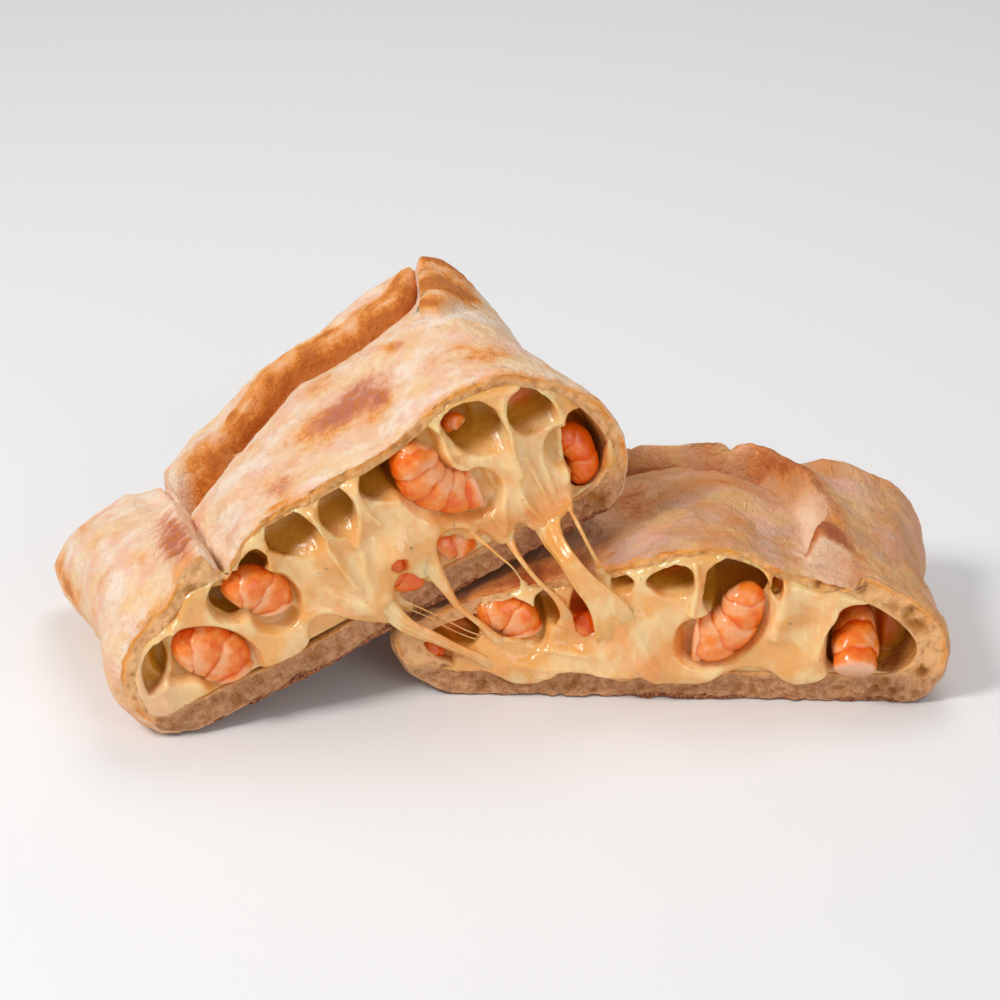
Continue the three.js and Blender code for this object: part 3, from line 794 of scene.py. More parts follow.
# the cheese's lower edge on the cut face, scalloped where strands leave it
left_drip = curve_through([
    (-78, 14), (-72, 9), (-66, 9), (-58, 9.5), (-50, 7.5), (-44, 8.5), (-38, 7.5), (-32, 7),
    (-28.5, 9), (-26.5, 13), (-23, 14.5), (-19.5, 13), (-15, 8.5), (-11, 4.5), (-6, 2.5), (-3, 5),
    (-1, 11), (2, 14), (5, 12.5), (7.5, 8), (10, 6), (12.5, 8), (15, 15), (18, 18.8), (21, 18.3),
    (24, 14.5), (25.5, 11.5), (28, 12), (30.5, 7), (33, 10.5), (37, 11.5), (40.5, 7), (44, 5),
    (47.5, 7), (50, 11.5), (52, 9), (57, 10), (66, 12), (74, 16)])
right_drip = curve_through([
    (-76, 16), (-70, 11), (-62, 8), (-50, 8), (-44, 4), (-37, 4.5), (-31, 8.5), (-25.5, 8.5),
    (-20, 7), (-13, 5.5), (-9, 7.1), (-3.7, 5.1), (1.6, 4.7), (8.7, 5.4), (13.9, 8.6), (20, 10.8),
    (25.4, 9.9), (30.8, 6.4), (35.3, 5.5), (40.5, 7.1), (43.9, 10.3), (47.5, 11), (56, 10.5),
    (64, 12), (74, 16)])

LEFT.room = SimpleNamespace(wall=5, lid=LID, floor=FLOOR, draw_in=0.1)
RIGHT.room = SimpleNamespace(wall=WALL, lid=LID, floor=FLOOR, draw_in=0.1)
LEFT.crumb_holes = [(-50, 40, 2, 1.5), (-56, 35, 1.6, 1.2), (-49, 34, 1.2, 1.2), (-72, 10, 1.4, 1),
                    (-60, 4.5, 1.2, 1), (-30, 4, 1.3, 1), (-16, 5, 1.2, 1), (60, 5, 2, 1.5)]
RIGHT.crumb_holes = [(60, 30, 1.8, 1.5), (64, 28, 2, 2.4), (67.5, 23.5, 2, 3.2), (64.5, 24.5, 1.6, 2),
                     (69, 9.5, 1.9, 3), (39, 36.8, 1.2, 1.6), (44, 37.6, 1.5, 2), (51, 36.6, 1.8, 2),
                     (57, 5, 2, 1.2), (18, 3.4, 1.2, 1.4), (-34, 3.4, 1.2, 1.4), (2, 3, 1, 1.2),
                     (-60, 4.5, 1.4, 1)]
LEFT.shrimps, RIGHT.shrimps = LEFT_SHRIMPS, RIGHT_SHRIMPS
LEFT.hollows, RIGHT.hollows = LEFT_HOLLOWS, RIGHT_HOLLOWS
LEFT.drip, RIGHT.drip = left_drip, right_drip
LEFT.cheese_span, RIGHT.cheese_span = (-76, 70), (-70, 64)     # x of the cheese's two ends
# cords that stand up on the cheese's front, where it was drawn out: half width, height and line
LEFT.cords = [
    (1.3, 2.1, [(46, 47), (45, 41), (44, 35), (43.3, 31), (43, 26)]),
    (1.2, 1.8, [(57.5, 45), (59.8, 37), (58.4, 30.5), (55.8, 22.7), (53.2, 12.8), (52, 8.7)]),
    (1.2, 1.4, [(27.8, 49.6), (27.2, 44.4), (28, 38.4), (31, 34)]),
    (1.1, 2.1, [(-12.4, 45.1), (-12.4, 40), (-12.7, 35), (-12.1, 30), (-11.3, 23.5), (-10.2, 17.6)]),
    (1.1, 1.6, [(-0.4, 44.5), (-0.9, 39), (-2.6, 34), (-5.2, 30)]),
    (0.9, 1.4, [(1.3, 46), (1.1, 38.6), (2.8, 32.6)]),
    (1.2, 1.8, [(-27.8, 42), (-29, 37.8), (-27.9, 30.4), (-27.4, 25), (-27.2, 20.5)]),
    (1.8, 1.4, [(-21, 24.4), (-14.2, 15), (-8.7, 7.2), (-3.8, -0.3)]),
    (1.2, 1.3, [(-25.3, 16.7), (-21.5, 15.2), (-18.9, 12.7), (-15.7, 8.1)]),
    (1.1, 1.4, [(-58.6, 35), (-61.2, 28.4), (-64.9, 21.3), (-68.9, 17.5)]),
    (0.9, 1.3, [(41, 30), (41.2, 24), (41.3, 17), (43, 11)]),
    (0.8, 1.3, [(46.2, 30), (46.5, 24.5), (46.7, 18.7), (46.8, 12)]),
    (0.7, 1.1, [(50, 27), (49.6, 20), (48.6, 12)]), (0.7, 1.3, [(35.2, 31), (35.6, 24.4)]),
    (1.0, 1.1, [(20, 31), (23, 25), (24, 18), (24, 13)]),
    (0.9, 1.1, [(28, 26), (31, 19), (32.5, 11)]), (0.9, 1.1, [(36, 22), (34, 15), (33.4, 9)]),
    (1.3, 1.3, [(-5, 27), (-7, 18), (-7.5, 10)]),
]
RIGHT.cords = [
    (1.2, 2.2, [(5.3, 42.9), (5.9, 37.9), (5.2, 33), (4.5, 28.9)]),
    (1.0, 1.4, [(25.1, 42), (25.4, 39), (25.1, 36.3)]),
    (1.6, 1.6, [(28.5, 37.4), (29.7, 31.5), (28.2, 25.4), (27.5, 21.4)]),
    (1.2, 1.6, [(43.8, 29), (42.6, 25), (40.6, 21.6), (39.2, 15.5)]),
    (1.4, 1.3, [(-22, 36), (-16, 26), (-10, 14), (-6, 6)]),
    (1.0, 1.1, [(-18, 36), (-11, 24), (-4, 11)]), (1.0, 1.1, [(-24, 33), (-20, 22), (-14, 10)]),
    (1.3, 1.1, [(-46, 12.5), (-36, 11), (-24, 9), (-12, 9)]),
    (1.1, 1.1, [(-36, 8), (-26, 6.5), (-15, 5.5)]),
    (1.1, 1.1, [(-19, 33), (-11, 20), (-4, 6)]), (0.9, 1.1, [(-46, 15), (-34, 16), (-24, 15)]),
]
# x, z, half width, half height and how far proud of the cut (or sunk in it) the cheese swells
LEFT.bulges = [(3, 21, 6.5, 6.5, 4), (40, 26, 12, 8, 1.4), (-36, 11, 9, 6, 1.4), (45, 14, 8, 8, 1.8),
               (-24, 34, 5, 6, -1.6), (-21, 24, 5, 8, -1.6), (14, 27, 6, 7, 1.2), (-45, 10, 8, 4, 0.8)]
RIGHT.bulges = [(-12, 18, 12, 10, 2.2), (-2, 10, 14, 7, 1.4), (36, 12, 7, 7, 1.8),
                (28, 26, 4, 8, 0.8), (35.5, 24, 4.5, 9, -1.5), (-36, 10, 14, 5, 1.6),
                (10, 9, 10, 3, 1)]
# where oil has stained the cheese orange: x, z, half width, half height, turn and strength
LEFT.stains = [(44, 10, 6, 7, 0, 1), (30, 14, 7, 5, 0, 0.7), (52, 12, 3, 8, 0, 0.8),
               (14, 26, 8, 4, 30, 0.5), (-24, 24, 5, 10, 0, 0.4), (38, 27, 5, 9, 0, 0.4),
               (3, 21, 7, 7, 0, 0.45), (-15, 12, 10, 3, -50, 0.5), (64, 34, 4, 5, 0, 0.5),
               (53, 43, 5, 4, 0, 1), (20, 47, 4, 5, 0, 0.6),
               (-55, 29, 6, 4, 0, 0.5), (-33, 41, 5, 3, 0, 1), (-57, 8, 8, 3, 0, 0.6),
               (-12, 38, 3, 6, 0, 0.5), (65, 20, 5, 12, 0, 0.9), (3, 17, 2.5, 2.5, 0, 1)]
RIGHT.stains = [(-20, 26, 7, 9, 0, 1.1), (-8, 12, 9, 8, 0, 0.9), (-28, 28, 5, 9, 0, 1),
                (2, 20, 5, 9, 30, 0.5), (20, 12, 8, 4, 0, 0.5), (38, 24, 3, 8, 0, 0.4),
                (15, 40, 9, 4, 0, 1), (-2, 39, 5, 3, 0, 1), (52, 29, 9, 4, 0, 1),
                (59, 18, 4, 8, 0, 1), (-45, 13, 8, 4, 0, 0.5), (-62, 20, 8, 6, 0, 0.8),
                (-58, 10, 12, 3, 0, 0.6), (28, 37, 3, 4, 0, 1), (-34, 7, 10, 2, 0, 0.4)]

# strands of cheese from one half to the other: root and end are the (x, z) where each is rooted
# in the left and the right half's cheese, and line its points before the right half as
# (x, y, z, width)
STRANDS = [
    dict(root=(-8.5, 18, 10), line=[
        (-80.5, -6.8, 33, 7.5), (-79.2, -6.6, 31.5, 6.5), (-73.1, -6, 25.6, 5),
        (-65.1, -4.6, 20.6, 3.4), (-55.7, -3.2, 15.3, 2.6), (-48.2, -2.2, 10.9, 5)],
         end=(-40, 10, 9), thick=1.1),
    dict(root=(10, 25, 10), line=[
        (-69, -2.6, 47.5, 8), (-68, -2.6, 45, 7), (-62.9, -2.8, 35.7, 3.2), (-58.8, -2.8, 29.6, 1.8),
        (-53.2, -2.5, 24.3, 1.8), (-48, -2, 19, 3.6)], end=(-41, 14, 8), thick=0.9),
    dict(root=(23, 17, 4), line=[
        (-52.9, 1, 48.2, 1.2), (-48.1, -2, 45.4, 0.7), (-44.7, -2.4, 42.4, 0.5),
        (-42.5, -1.4, 38.5, 0.6)], end=(-41, 34, 1.2), thick=0.3),
    dict(root=(34, 15, 7), line=[
        (-45.4, 5.5, 45.7, 2.6), (-42, 0.4, 42.7, 1.5), (-37.5, -3, 38.4, 1.3),
        (-32.8, -3.4, 33.8, 1.8), (-30, -2.8, 28, 3.2)], end=(-30.5, 20, 5), thick=0.65),
    dict(root=(45.5, 19, 15), line=[
        (-35.8, 9.2, 51.6, 9.4), (-33.4, 3.6, 48.1, 7), (-29.6, -2.6, 44.6, 5.6),
        (-25.5, -3.8, 39.6, 6.6), (-20.7, -3.8, 33.8, 8.6), (-15.7, -3, 24.7, 13)],
         end=(-10, 13, 19), thick=1.2),
    dict(root=(53, 17, 5), line=[
        (-29.1, 8.2, 55, 1.8), (-27.1, 0, 55, 1.2), (-24.4, -2.8, 50.5, 1),
        (-21.6, -2, 44.2, 1.4)], end=(-20, 36, 3), thick=0.5),
    dict(root=(-3.5, 9, 1.2), line=[
        (-68.7, -2.2, 28.5, 0.5), (-62, -1.9, 24.7, 0.4), (-55.8, -1.8, 21.4, 0.4)],
         end=(-47, 16.5, 1), thick=0.2),
    dict(root=(-4.5, 7, 1.2), line=[
        (-69.6, -2.2, 27.2, 0.4), (-63, -2, 23.2, 0.35), (-56.7, -1.8, 20, 0.35)],
         end=(-48, 15.5, 1), thick=0.18),
]


ROOT_DEPTH = 1.6                 # how far behind the cuts the strands' middle lines end
FACING = (0, 1, 0.15)            # the way that the strands' flat backs face, in the model's frame
# the lattice that the melted cheese is worked out on, fine near the cut and coarse behind it
LATTICE_X, FINE_Y, LATTICE_Z, COARSE_STEP = (-79, 76), (-9, 15), (-2, 60), 3.5


def strand_path(strand, count):
    """Points of a strand's middle line in the model's frame, its directions, half widths and
    thicknesses: a smooth curve from inside the left cheese to inside the right one."""
    (x, z, wide), (end_x, end_z, end_wide) = strand["root"], strand["end"]
    line = np.array(strand["line"], float)
    middle = np.vstack([to_model(LEFT, np.array([x, ROOT_DEPTH, z])), to_model(RIGHT, line[:, :3]),
                        to_model(RIGHT, np.array([end_x, ROOT_DEPTH, end_z]))])
    width = np.concatenate([[wide], line[:, 3], [end_wide]])
    path = spline(np.column_stack([middle, width]), per_span=24)
    length = np.concatenate([[0], np.cumsum(np.linalg.norm(np.diff(path[:, :3], axis=0), axis=1))])
    share = np.linspace(0, 1, count)
    path = np.stack([np.interp(share * length[-1], length, column) for column in path.T], axis=-1)
    line = path[:, :3]
    forward = np.gradient(line, axis=0)
    forward /= np.linalg.norm(forward, axis=1, keepdims=True)
    side = np.cross(FACING, forward)
    side /= np.linalg.norm(side, axis=1, keepdims=True)
    outward = np.cross(forward, side)
    half_width = path[:, 3] / 2
    thick = np.minimum(strand["thick"] * (1 + 0.35 * np.abs(2 * share - 1) ** 3), 0.9 * half_width)
    return line, forward, side, outward, half_width, thick, share


def strand_field(half, axes, field, strand):
    """Adds the part of a strand that is near a half to its field: the least of flattened balls
    set close along its path, blended into the cheese and thinned out away from it."""
    line, forward, side, outward, half_width, thick, share = strand_path(strand, 150)
    line = to_half(half, line)
    forward, side, outward = [v @ half.turn for v in (forward, side, outward)]
    away = share if half.name == "left" else 1 - share
    slim = -0.5 + 1.95 * smooth((away - 0.07) / 0.33)
    blob = np.full(field.shape, 9.0)
    for i in np.flatnonzero(np.minimum(half_width, thick) - slim > 0.05):
        reach = half_width[i] + 2.5
        window = tuple(slice(*np.searchsorted(axis, (line[i, k] - reach, line[i, k] + reach)))
                       for k, axis in enumerate(axes))
        if any(w.start >= w.stop for w in window):
            continue
        grid = np.meshgrid(*[a[w] for a, w in zip(axes, window)], indexing="ij")
        apart = np.stack(grid, axis=-1) - line[i]
        wide, thin = half_width[i] - slim[i], thick[i] - slim[i]
        size = np.sqrt((apart @ side[i] / wide) ** 2 + (apart @ outward[i] / thin) ** 2
                       + (apart @ forward[i] / thin) ** 2)
        blob[window] = np.minimum(blob[window], (size - 1) * min(wide, thin))
    return smooth_min(field, blob, 2.6)


def arc_distance(x, z, shape):
    """Distance in the cut's plane from (x, z) to the middle line of a shrimp, less its radius."""
    swing = (np.linspace(-0.5, 0.5, 24) * np.radians(shape["bend"]))
    line = np.stack([shape["curl"] * np.sin(swing), 0 * swing, shape["curl"] * np.cos(swing)], axis=-1)
    line = line @ shrimp_axes(shape).T + np.array(shape["centre"])
    near = line[line[:, 1] < 12]
    away = np.hypot(x[..., None] - near[:, 0], z[..., None] - near[:, 2]).min(-1)
    return away - np.mean(shape["radii"])


def cheese_front(half, x, z):
    """y of the cheese's front over the cut: a little proud, with slow lumps and streaks that run
    down to the strands, cords, swellings, and a hollow round each shrimp that it leaves open."""
    tilt = np.radians(-50 if half.name == "left" else -65)
    along = x * np.cos(tilt) + z * np.sin(tilt)
    across = -x * np.sin(tilt) + z * np.cos(tilt)
    front = -1.3 - 0.9 * rough(flat_points(x, z), 11, 2, seed=41)
    front = front - 0.5 * rough(flat_points(along, across, (0.25, 1)), 4.5, 2, seed=43)
    for at_x, at_z, wide, high, proud in half.bulges:
        front = front - proud * hill(x - at_x, wide) * hill(z - at_z, high)
    for width, height, line in half.cords:
        front = front - height * hill(line_distance(x, z, spline(line, 6)), width)
    for shape in half.shrimps:
        near = smooth((1.7 - arc_distance(x, z, shape)) / 2.4)
        front = front + 4 * shape.get("open", 1) * near
    return front


def cheese(half, step, finish, replaced):
    """The melted cheese of a half: it fills the room, stands a little proud of the cut, laps over
    the crumb in drips, and has hollows with thin webs of cheese between them."""
    back = half.depth - WALL
    fine_y, coarse_y = np.arange(*FINE_Y, step), np.arange(FINE_Y[1], back, COARSE_STEP)
    axes = [np.arange(*LATTICE_X, step), np.concatenate([fine_y, coarse_y, [back + 1]]),
            np.arange(*LATTICE_Z, step)]
    x, z = np.meshgrid(axes[0], axes[2], indexing="ij")
    front = cheese_front(half, x, z)
    wander = 1.1 * rough(flat_points(x, z), 6, 3, seed=47)

    Y, Z = np.meshgrid(*axes, indexing="ij")[1:]
    low, high, ends = pillow_heights(half, axes)
    inside_room = smooth_max(np.maximum(low - Z, Z - high), ends, 1.5) - 0.5
    edge = np.maximum(half.drip(x) - z + 0.5 * wander, z - high[:, 0, :] - 1.3 + 0.8 * wander)
    edge = np.maximum(edge, np.maximum(half.cheese_span[0] - x, x - half.cheese_span[1]) + wander)
    rim = np.sqrt(clamp01(1 - (1 - clamp01(-edge / 2.6)) ** 2))
    proud = 0.7 + (front - 0.7) * rim
    lapped = np.maximum(proud[:, None, :] - Y, np.maximum(edge[:, None, :], Y - 1.6))
    behind = np.where(edge < 0, np.minimum(proud, 3), 0.9)[:, None, :] - Y
    field = smooth_min(lapped, np.maximum(behind, inside_room), 0.4)
    for hollow in half.hollows:
        line = spline(hollow["line"], 5, closed=True)
        mouth = outline_distance(x, z, line) + 0.35 * rough(flat_points(x, z), 3, 2, seed=53)
        low_z, high_z = hollow["floor"]
        depth = front + hollow["deep"] * smooth((z - low_z) / (high_z - low_z))
        widening = min(2.4, 0.2 * hollow["deep"]) * smooth((Y - 1.5) / 4)
        bite = smooth_max(mouth[:, None, :] - widening, Y - depth[:, None, :], 1.2)
        field = smooth_max(field, -bite, 0.9)
    for strand in STRANDS:
        field = strand_field(half, axes, field, strand)
    field[0], field[-1] = 1, 1
    field[:, 0], field[:, -1] = 1, 1
    field[..., 0], field[..., -1] = 1, 1
    points, quads = surface_net(field, axes)
    points = relax(points, quads, 1)
    x, y, z = points.T
    doughy = smooth((half.cheese_span[0] + 12 - x) / 8 if half.name == "left" else (x - 58) / 8)
    # deep grows behind the cut; the finish paints the cheese darker by it, partly browned cheese and
    # partly painted shade in the hollows
    attributes = {"deep": smooth((y - 0.3) / 3.8), "doughy": doughy,
                  "stain": clamp01(patches(x, z, half.stains)), "place": points * MM}
    make_piece("melted_cheese_" + half.name, to_model(half, points), quads, replaced,
               finish, attributes)


def strands_piece(replaced, finish):
    """The strands: flattened sections carried along each path, with fine ridges along them, and
    both ends closed inside the cheese."""
    around, count = 40, 110
    turn = np.linspace(0, 2 * np.pi, around, endpoint=False)[None, :]
    all_points, all_faces, stains = [], [], []
    for number, strand in enumerate(STRANDS):
        line, _, side, outward, half_width, thick, share = strand_path(strand, count)
        across = np.cos(turn)
        wander = 0.4 * np.sin(6 * share[:, None] + number)
        ridges = 0.16 * np.sin(9 * across + 2 * wander + number) + 0.1 * np.sin(17 * across + wander)
        to_end = np.minimum(share, 1 - share)[:, None]
        ridges = 1 + ridges * smooth((to_end - 0.1) / 0.15)
        close = np.sqrt(clamp01(to_end / 0.015)) * (0.25 + 0.75 * smooth(to_end / 0.2))
        edge = 1 + 0.06 * np.sin(23 * share + 2 * number)[:, None] * np.sign(across)
        wide = half_width[:, None] * np.sqrt(close) * edge
        tall = thick[:, None] * ridges * close
        points = (line[:, None] + side[:, None] * (wide * across)[..., None]
                  + outward[:, None] * (tall * np.sin(turn))[..., None])
        all_faces.append(grid_faces(count, around) + sum(len(p) for p in all_points))
        all_points.append(points.reshape(-1, 3))
        slender = clamp01(1.6 - half_width / 2)[:, None]
        stains.append(clamp01(0.25 + 0.5 * slender + 0.5 * (np.abs(across) ** 3)).ravel())
    points = np.concatenate(all_points)
    zero = np.zeros(len(points))
    attributes = {"deep": zero, "doughy": zero, "stain": np.concatenate(stains),
                  "place": points * MM}
    make_piece("cheese_strands", points, np.concatenate(all_faces), replaced,
               finish, attributes)


# ---- finishes ----


class Value:
    """A shader socket that Python's operators work on: each one adds its Math node."""

    def __init__(self, finish, socket):
        self.finish, self.socket = finish, socket

    def math(self, operation, *others):
        """A Math node of this value and the others."""
        return self.finish.node("ShaderNodeMath", {"operation": operation}, [self, *others])

    def __add__(self, other):
        return self.math("ADD", other)

    def __sub__(self, other):
        return self.math("SUBTRACT", other)

    def __rsub__(self, other):
        return self.finish.node("ShaderNodeMath", {"operation": "SUBTRACT"}, [other, self])

    def __mul__(self, other):
        return self.math("MULTIPLY", other)

    def clip(self):
        """The value, held between 0 and 1."""
        return self.finish.node("ShaderNodeMath", {"operation": "ADD", "use_clamp": True}, [self, 0.0])

    __radd__ = __add__
    __rmul__ = __mul__


class Finish:
    """A node material with one Principled surface."""

    def __init__(self, name):
        self.material = bpy.data.materials.new(name)
        self.material.use_nodes = True
        self.tree = self.material.node_tree
        self.tree.nodes.clear()

    def node(self, kind, settings, inputs, output=0):
        """Adds a node: its settings first, then its sockets by place or name."""
        node = self.tree.nodes.new(kind)
        for key, setting in settings.items():
            setattr(node, key, setting)
        named = inputs.items() if isinstance(inputs, dict) else enumerate(inputs)
        for key, given in named:
            if isinstance(given, Value):
                self.tree.links.new(given.socket, node.inputs[key])
            elif given is not None:
                node.inputs[key].default_value = given
        return Value(self, node.outputs[output]) if node.outputs else None

    def attribute(self, name, output="Fac"):
        """A number, or with output "Vector" a vector, that the mesh holds for each point."""
        return self.node("ShaderNodeAttribute", {"attribute_name": name}, {}, output)

    def noise(self, size, detail, distortion=0.0, stretch=(1, 1, 1)):
        """Noise with lumps of that size in millimetres, in the half's own frame."""
        place = self.attribute("place", "Vector")
        place = self.node("ShaderNodeMapping", {}, {"Vector": place, "Scale": stretch})
        return self.node("ShaderNodeTexNoise", {"noise_dimensions": "3D"},
                         {"Vector": place, "Scale": 1 / (size * MM), "Detail": detail,
                          "Roughness": 0.55, "Distortion": distortion})

    def between(self, value, low, high):
        """0 below low and 1 above high, smooth between; low may be the higher number."""
        return self.node("ShaderNodeMapRange", {"interpolation_type": "SMOOTHSTEP"},
                         {"Value": value, "From Min": low, "From Max": high})

    def ragged(self, value, grain, amount, low, high):
        """The same, with a ragged edge: a grain round 0.5, times the amount, moves the value."""
        return self.between(value + (grain - 0.5) * amount, low, high)

    def mix(self, share, first, second):
        """Two colours, each a Value or (red, green, blue), mixed by a share."""
        def colour(c):
            return c if isinstance(c, Value) else (*c, 1)
        return self.node("ShaderNodeMix", {"data_type": "RGBA", "blend_type": "MIX"},
                         {0: share, 6: colour(first), 7: colour(second)}, 2)

    def bump(self, height, distance):
        """The normal over a height from 0 to 1 that stands for that many millimetres."""
        return self.node("ShaderNodeBump", {}, {"Height": height, "Distance": distance * MM})

    def surface(self, colour, roughness, normal, **constants):
        """The Principled surface; constants are its other sockets, named with _ for a space."""
        shader = self.node("ShaderNodeBsdfPrincipled", {}, {
            "Base Color": colour, "Roughness": roughness, "Normal": normal,
            **{name.replace("_", " "): value for name, value in constants.items()}})
        self.node("ShaderNodeOutputMaterial", {}, {"Surface": shader})
        return self.material


# colours that the dough of both halves shares; a pair is mottled from the first to the second
YELLOWED, REDDENED, CREAM = (0.90, 0.55, 0.20), (0.87, 0.42, 0.30), (0.93, 0.66, 0.46)
# the pore colour is painted shade in the crumb's pores and tears and on the room's wall behind the cut
OILED, PORE_SHADE, CRUMB_SPECK = (0.86, 0.32, 0.05), (0.55, 0.24, 0.05), (0.60, 0.28, 0.10)
PALE_CRUMB, CUT_RIM = (0.96, 0.55, 0.26), (0.90, 0.32, 0.02)
CRUMB = [(0.80, 0.37, 0.11), (0.88, 0.50, 0.21)]
GREY_CRUMB = [(0.42, 0.165, 0.06), (0.66, 0.36, 0.18)]
TOASTED = [(0.17, 0.045, 0.015), (0.46, 0.17, 0.06)]


def dough_finish(name, pale, base, golden, brown, blush, burnt):
    """Baked dough, from pale through golden to brown, blushed and burnt, with cream and oily places,
    an open crumb at the cut that is darker low down and whose pores, tears and inner wall are
    darkened as painted shade, and a toasted underside. Its browning, scorch and oil masks hold some
    painted shade too."""
    f = Finish(name)
    cloud, mottle, speck = f.noise(9, 4), f.noise(2.2, 4), f.noise(0.8, 3)
    # the browning mask also holds painted shade: at the strip's crease, on the right recess's side and
    # where the left half leans
    tone = f.attribute("tan_and_shade") + (mottle - 0.5) * 0.9 + (cloud - 0.5) * 1.3
    skin = f.mix(f.between(tone, -0.35, 0.3), pale, base)
    skin = f.mix(f.between(f.noise(15, 2), 0.48, 0.6) * 0.4, skin, YELLOWED)
    skin = f.mix(f.between(f.noise(11, 2), 0.50, 0.62) * 0.42, skin, REDDENED)
    skin = f.mix(f.ragged(tone, speck, 0.5, 0.15, 1.25), skin, golden)
    skin = f.mix(f.ragged(tone, speck, 0.8, 0.85, 1.5), skin, brown)
    skin = f.mix(f.attribute("cream") * 0.9, skin, CREAM)
    # on the right half the oil and scorch masks also hold painted shade, under the leaning left half and
    # at the strip's crease
    skin = f.mix(f.ragged(f.attribute("oil"), mottle, 0.8, 0.2, 1.0) * 0.8, skin, OILED)
    skin = f.mix(f.ragged(f.attribute("scorch"), cloud, 0.6, 0.0, 0.6) * 0.5, skin, blush)
    bitten = f.between(f.attribute("scorch") + (mottle - 0.5) * 1.4 + (speck - 0.5) * 0.8, 0.1, 1.2)
    charred = f.mix(f.ragged(mottle, speck, 0.6, 0.45, 0.65), burnt, brown)
    skin = f.mix(bitten * 0.9, skin, charred)
    skin = f.mix(f.between(f.noise(1.4, 2), 0.66, 0.74) * 0.3, skin, brown)
    grey = f.mix(f.ragged(mottle, speck, 0.6, 0.25, 0.75), *GREY_CRUMB)
    inner = f.mix(f.between(mottle, 0.35, 0.65), *CRUMB)
    inner = f.mix(f.between(speck, 0.55, 0.7) * 0.3, inner, CRUMB_SPECK)
    inner = f.mix(f.attribute("cream") * 0.8, inner, PALE_CRUMB)
    inner = f.mix(f.ragged(f.attribute("low"), cloud, 0.8, 0.1, 0.9), inner, grey)
    inner = f.mix(f.attribute("rim") * 0.85, inner, CUT_RIM)
    # painted shade: the pores, the tears and the room's wall darkened
    inner = f.mix(f.attribute("pore_shade"), inner, PORE_SHADE)
    toast = f.mix(f.between(speck, 0.4, 0.6), *TOASTED)
    crumb = f.attribute("crumb")
    colour = f.mix(crumb, skin, inner)
    colour = f.mix(f.ragged(f.attribute("under"), mottle, 0.9, 0.35, 0.8), colour, toast)
    creases = f.noise(3.5, 3, distortion=1.0, stretch=(1, 0.6, 1))
    normal = f.bump(mottle * 0.6 + f.noise(0.5, 3) * 0.3 + creases * 0.9, 1.1)
    rough_share = 0.58 + crumb * (speck - 1.0) * 0.3 - f.attribute("oil") * 0.25
    return f.surface(colour, rough_share, normal, Subsurface_Weight=0.12,
                     Subsurface_Radius=(1.0, 0.5, 0.25), Subsurface_Scale=0.003,
                     Specular_IOR_Level=0.28)


def cheese_finish():
    """Melted cheese: glossy and pale, drawn into warmer streaks, stained orange by the shrimps'
    oil, and darker and browner deeper into the hollows: partly browned cheese, partly painted shade."""
    f = Finish("melted_cheese")
    golden, creamy, drawn = (0.87, 0.44, 0.12), (0.95, 0.64, 0.30), (0.90, 0.42, 0.13)
    oiled, baked, herb_green = (0.92, 0.34, 0.07), (0.84, 0.50, 0.27), (0.16, 0.15, 0.04)
    # the hollows' colours: partly browned, oily cheese and partly painted shade
    hollow_gold_and_shade, hollow_orange_and_shade = (0.60, 0.27, 0.012), (0.78, 0.19, 0.003)
    deep, doughy, stain = f.attribute("deep"), f.attribute("doughy"), f.attribute("stain")
    cloud, fine = f.noise(12, 2), f.noise(1.1, 3)
    streak = f.noise(3, 3, stretch=(1, 1, 0.35))
    colour = f.mix(f.between(cloud, 0.4, 0.6), golden, creamy)
    warm = f.between(streak, 0.42, 0.7) * 0.45
    colour = f.mix(warm, colour, drawn)
    oily = f.ragged(stain, streak, 0.9, 0.25, 1.1)
    colour = f.mix(oily * 0.85, colour, oiled)
    colour = f.mix(doughy * 0.8, colour, baked)
    # painted shade, partly: the hollows darken to gold or orange deeper behind the cut
    hollow = f.mix(f.between(stain, 0.2, 0.8), hollow_gold_and_shade, hollow_orange_and_shade)
    colour = f.mix(deep, colour, hollow)
    herb = f.between(f.noise(1.8, 1), 0.745, 0.76) * f.between(deep, 0.3, 0.1)
    colour = f.mix(herb * f.between(f.noise(9, 1), 0.5, 0.56) * 0.6, colour, herb_green)
    normal = f.bump(streak * 0.8 + cloud * 0.8 + f.noise(1.8, 2) * 0.35, 0.8)
    return f.surface(colour, deep * 0.3 + 0.16 + (fine - 0.5) * 0.1, normal, Subsurface_Weight=0.5,
                     Coat_Weight=(1 - deep * 0.9) * 0.5, Coat_Roughness=0.05,
                     Subsurface_Radius=(1.0, 0.5, 0.2), Subsurface_Scale=0.004,
                     Specular_IOR_Level=0.6)


